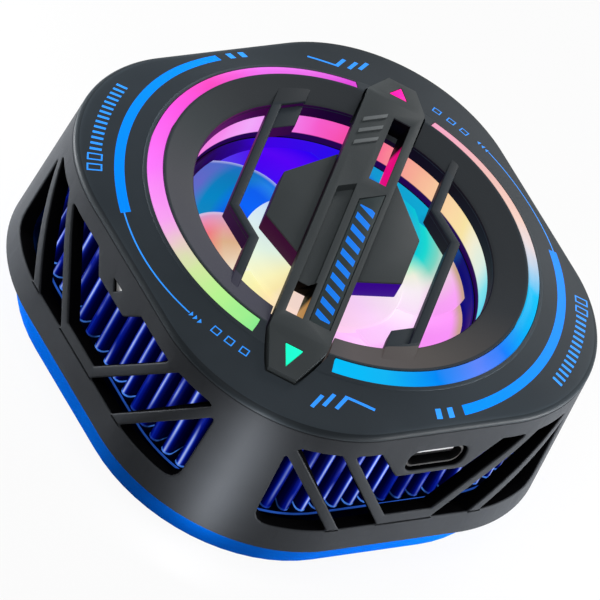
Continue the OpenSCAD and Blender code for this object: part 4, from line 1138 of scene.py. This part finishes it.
PLAIN = (
    (("control_board", "motor_board"), "solder_mask", (10, 60, 35), (20, 85, 50), 0.35, 0.0, 0.8),
    (("fan_shaft", "rotor_yoke", "shield_ring", "stator_core"), "brushed_steel",
     (160, 162, 165), (205, 207, 210), 0.3, 1.0, 4.0),
    (("usb_shell",), "shell_gunmetal", (12, 12, 13), (24, 24, 26), 0.5, 0.2, 3.0),
    (("led_chips",), "diode_white", (225, 225, 215), (250, 250, 245), 0.3),
    (("status_lens",), "status_clear", (190, 190, 190), (230, 230, 230), 0.2),
    (("bearing_bush",), "bush_bronze", (150, 110, 60), (185, 140, 80), 0.35, 1.0),
    (("stator_coils",), "coil_copper", (165, 85, 40), (205, 115, 60), 0.3, 1.0, 6.0),
    (("rotor_magnet",), "magnet_ferrite", (40, 40, 42), (60, 60, 62), 0.6),
    (("thermo_module",), "module_ceramic", (225, 225, 222), (245, 245, 242), 0.5),
    (("foam_frame",), "foam_black", (26, 26, 27), (44, 44, 45), 0.95, 0.0, 5.0, 0.6),
    (("cold_plate",), "plate_aluminium", (180, 183, 186), (215, 217, 220), 0.25, 1.0, 2.0),
    (("magnets",), "magnet_nickel", (170, 172, 176), (205, 206, 210), 0.2, 1.0),
    (("contact_pad",), "pad_silicone", (24, 24, 26), (36, 36, 38), 0.7, 0.0, 2.0),
    (("base_screws", "bar_screws"), "screw_steel", (70, 72, 75), (110, 112, 115), 0.35, 1.0, 3.0),
)
for nodes, *recipe in PLAIN:
    finish = plain(*recipe)
    for node in nodes:
        wear(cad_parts[node], finish)

# %% [markdown]
# Three more start from the same recipe. The duct's wall has the fan's light painted on it as a glow,
# the tongue of the USB-C inlet shows a line of contacts, and the bar's inlay is printed with plain
# slanted dashes whose ink also glows faintly as painted light.

# %% Duct, tongue and inlay
DUCT_IN, DUCT_OUT, Z_DUCT = 20.0, 21.0, 14.0
CONTACT_FACE, CONTACT_LINE = -31.6, (21.75, 22.05)
DASH_PITCH, DASH_WIDE, DASH_LEAN = 2.6, 1.25, 0.6
DASH_RUN, DASH_MIDDLE, DASH_HALF = (-20.6, 3.6), -1.85, 1.1
duct = plain("duct_black", (14, 12, 20), (24, 20, 34), 0.45)
spot, share, radius, z = around(duct)
# Painted glow of the fan's light on the duct's inner wall, changing round the axis.
duct_painted_glow = band(radius, DUCT_IN, DUCT_OUT) * (z > Z_DUCT)
duct_painted_fan_light = duct.ramp(share + (duct.noise(spot, 0.35) - 0.5) * 0.04, [
    (0.0, 20, 2, 70), (0.27, 40, 8, 110), (0.3, 4, 3, 124), (0.35, 6, 8, 108), (0.39, 14, 90, 160),
    (0.42, 12, 172, 214), (0.48, 16, 160, 210), (0.52, 40, 10, 240), (0.6, 64, 3, 232), (0.64, 44, 4, 150),
    (0.69, 34, 1, 64), (1.0, 20, 2, 70)])
duct.shine(duct.mix(duct_painted_glow, BLACK, duct_painted_fan_light), 0.95).set("IOR", 1.1)
wear(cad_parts["fan_frame"], duct)

tongue = plain("tongue_black", (8, 8, 9), (16, 16, 17), 0.5)
_, _, y, z = tongue.place()
contact = (y < CONTACT_FACE) * band(z, *CONTACT_LINE)
tongue.set("Base Color", tongue.mix(contact, tongue.tone, rgb(150, 150, 152))).set("IOR", 1.1)
wear(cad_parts["usb_tongue"], tongue)

slate = plain("inlay_slate", (52, 61, 63), (66, 76, 78), 0.4, 0.0, 0.6)
_, x, y, _ = slate.place()
along, across = bar_place(x, y)
stripe = (along - across * DASH_LEAN + 30.0) % DASH_PITCH < DASH_WIDE
dash = stripe * (abs(across - DASH_MIDDLE) < DASH_HALF) * band(along, *DASH_RUN)
slate.set("Base Color", slate.mix(dash, slate.tone, rgb(30, 130, 240)))
# The dashes' ink also glows faintly: painted light.
slate.shine(slate.mix(dash, BLACK, rgb(20, 120, 255)), 0.25).set("IOR", 1.1)
wear(inlay, slate)
print("finishes:", len(bpy.data.materials))

# %% [markdown]
# ## Floor, light and camera
# A white floor that looks evenly white to the camera but still takes the shadow, a pale world and five
# lamps. Two large soft ones stand high. Two small ones stand low and near, so that they light the side
# walls and not the cover, and a narrow upright strip makes the bright line on the near corner. The
# camera is a long lens, turned about its own axis as in the photo.

# %% Floor
FLOOR_SIZE, FLOOR_GAP, FLOOR_WHITE = 6, 0.0002, 0.93
bpy.ops.object.select_all(action="DESELECT")
bpy.ops.mesh.primitive_plane_add(size=FLOOR_SIZE, location=(0, 0, -FLOOR_GAP))
floor = bpy.context.object
floor.name = "floor"
floor_finish = Finish("floor_white", 0.9, Base_Color=(0.6, 0.6, 0.6, 1))
ray = floor_finish.make("ShaderNodeLightPath", {}, output="Is Camera Ray")
gloss = Wire(floor_finish, ray.socket.node.outputs["Is Glossy Ray"])
clear = Wire(floor_finish, ray.socket.node.outputs["Is Transmission Ray"])
white = floor_finish.make("ShaderNodeEmission", {}, {"Color": (1, 1, 1, 1), "Strength": 1.0})
seen = ray.most(gloss).most(clear) * FLOOR_WHITE
floor_finish.second(seen, white)
wear(floor, floor_finish)

# %% World and lamps
world = bpy.data.worlds.new("studio")
bpy.context.scene.world = world
world.use_nodes = True
background = world.node_tree.nodes["Background"].inputs
background["Color"].default_value, background["Strength"].default_value = (1, 1, 1, 1), 0.2
centre = Vector((0, 0, 0.016))


def lamp(name, azimuth, elevation, distance, size, power, height=None):
    """A round lamp, or an upright strip if it has a height; metres, degrees and watts."""
    data = bpy.data.lights.new(name, "AREA")
    data.shape, data.size, data.energy = "RECTANGLE" if height else "DISK", size, power
    if height:
        data.size_y = height
    obj = bpy.data.objects.new(name, data)
    obj.visible_camera = False
    bpy.context.scene.collection.objects.link(obj)
    a, e = radians(azimuth), radians(elevation)
    obj.location = centre + Vector((sin(a) * cos(e), -cos(a) * cos(e), sin(e))) * distance
    obj.rotation_euler = (centre - obj.location).to_track_quat("-Z", "Y").to_euler()


lamp("key", 115, 24, 0.6, 0.25, 1.7)
lamp("top", -60, 70, 0.6, 0.4, 1.5)
lamp("front", 38, -6, 0.11, 0.05, 0.47)
lamp("left", -145, -6, 0.11, 0.05, 0.5)
lamp("corner", -45, 0, 0.0428, 0.002, 0.0038, 0.024)

# %% Camera
PHOTO_SIZE, FOCAL = 600, 15287.3  # pixels
SENSOR, UNIT = 36, HALF * MM
AWAY, SHIFT_RIGHT, SHIFT_DOWN, Z_AIM = 60, -0.1602, 0.2693, 0.02857
scene = bpy.context.scene
azimuth, elevation, roll = radians(-50.06), radians(40.46), radians(-30.36)
backward = Vector((sin(azimuth) * cos(elevation), -cos(azimuth) * cos(elevation), sin(elevation)))
right = (-backward).cross(Vector((0, 0, 1))).normalized()
down = (-backward).cross(right)
right, down = cos(roll) * right + sin(roll) * down, -sin(roll) * right + cos(roll) * down
spot = (backward * AWAY + right * SHIFT_RIGHT + down * SHIFT_DOWN) * UNIT + Vector((0, 0, Z_AIM))
camera_data = bpy.data.cameras.new("camera")
camera = bpy.data.objects.new("camera", camera_data)
scene.collection.objects.link(camera)
camera.matrix_world = Matrix((right, -down, backward)).transposed().to_4x4()
camera.location = spot
camera_data.sensor_width = SENSOR
camera_data.lens = FOCAL / PHOTO_SIZE * SENSOR
camera_data.clip_start, camera_data.clip_end = 0.1, 20
scene.camera = camera
scene.view_settings.view_transform = "Standard"
print("camera distance:", round((spot - centre).length, 3), "m")
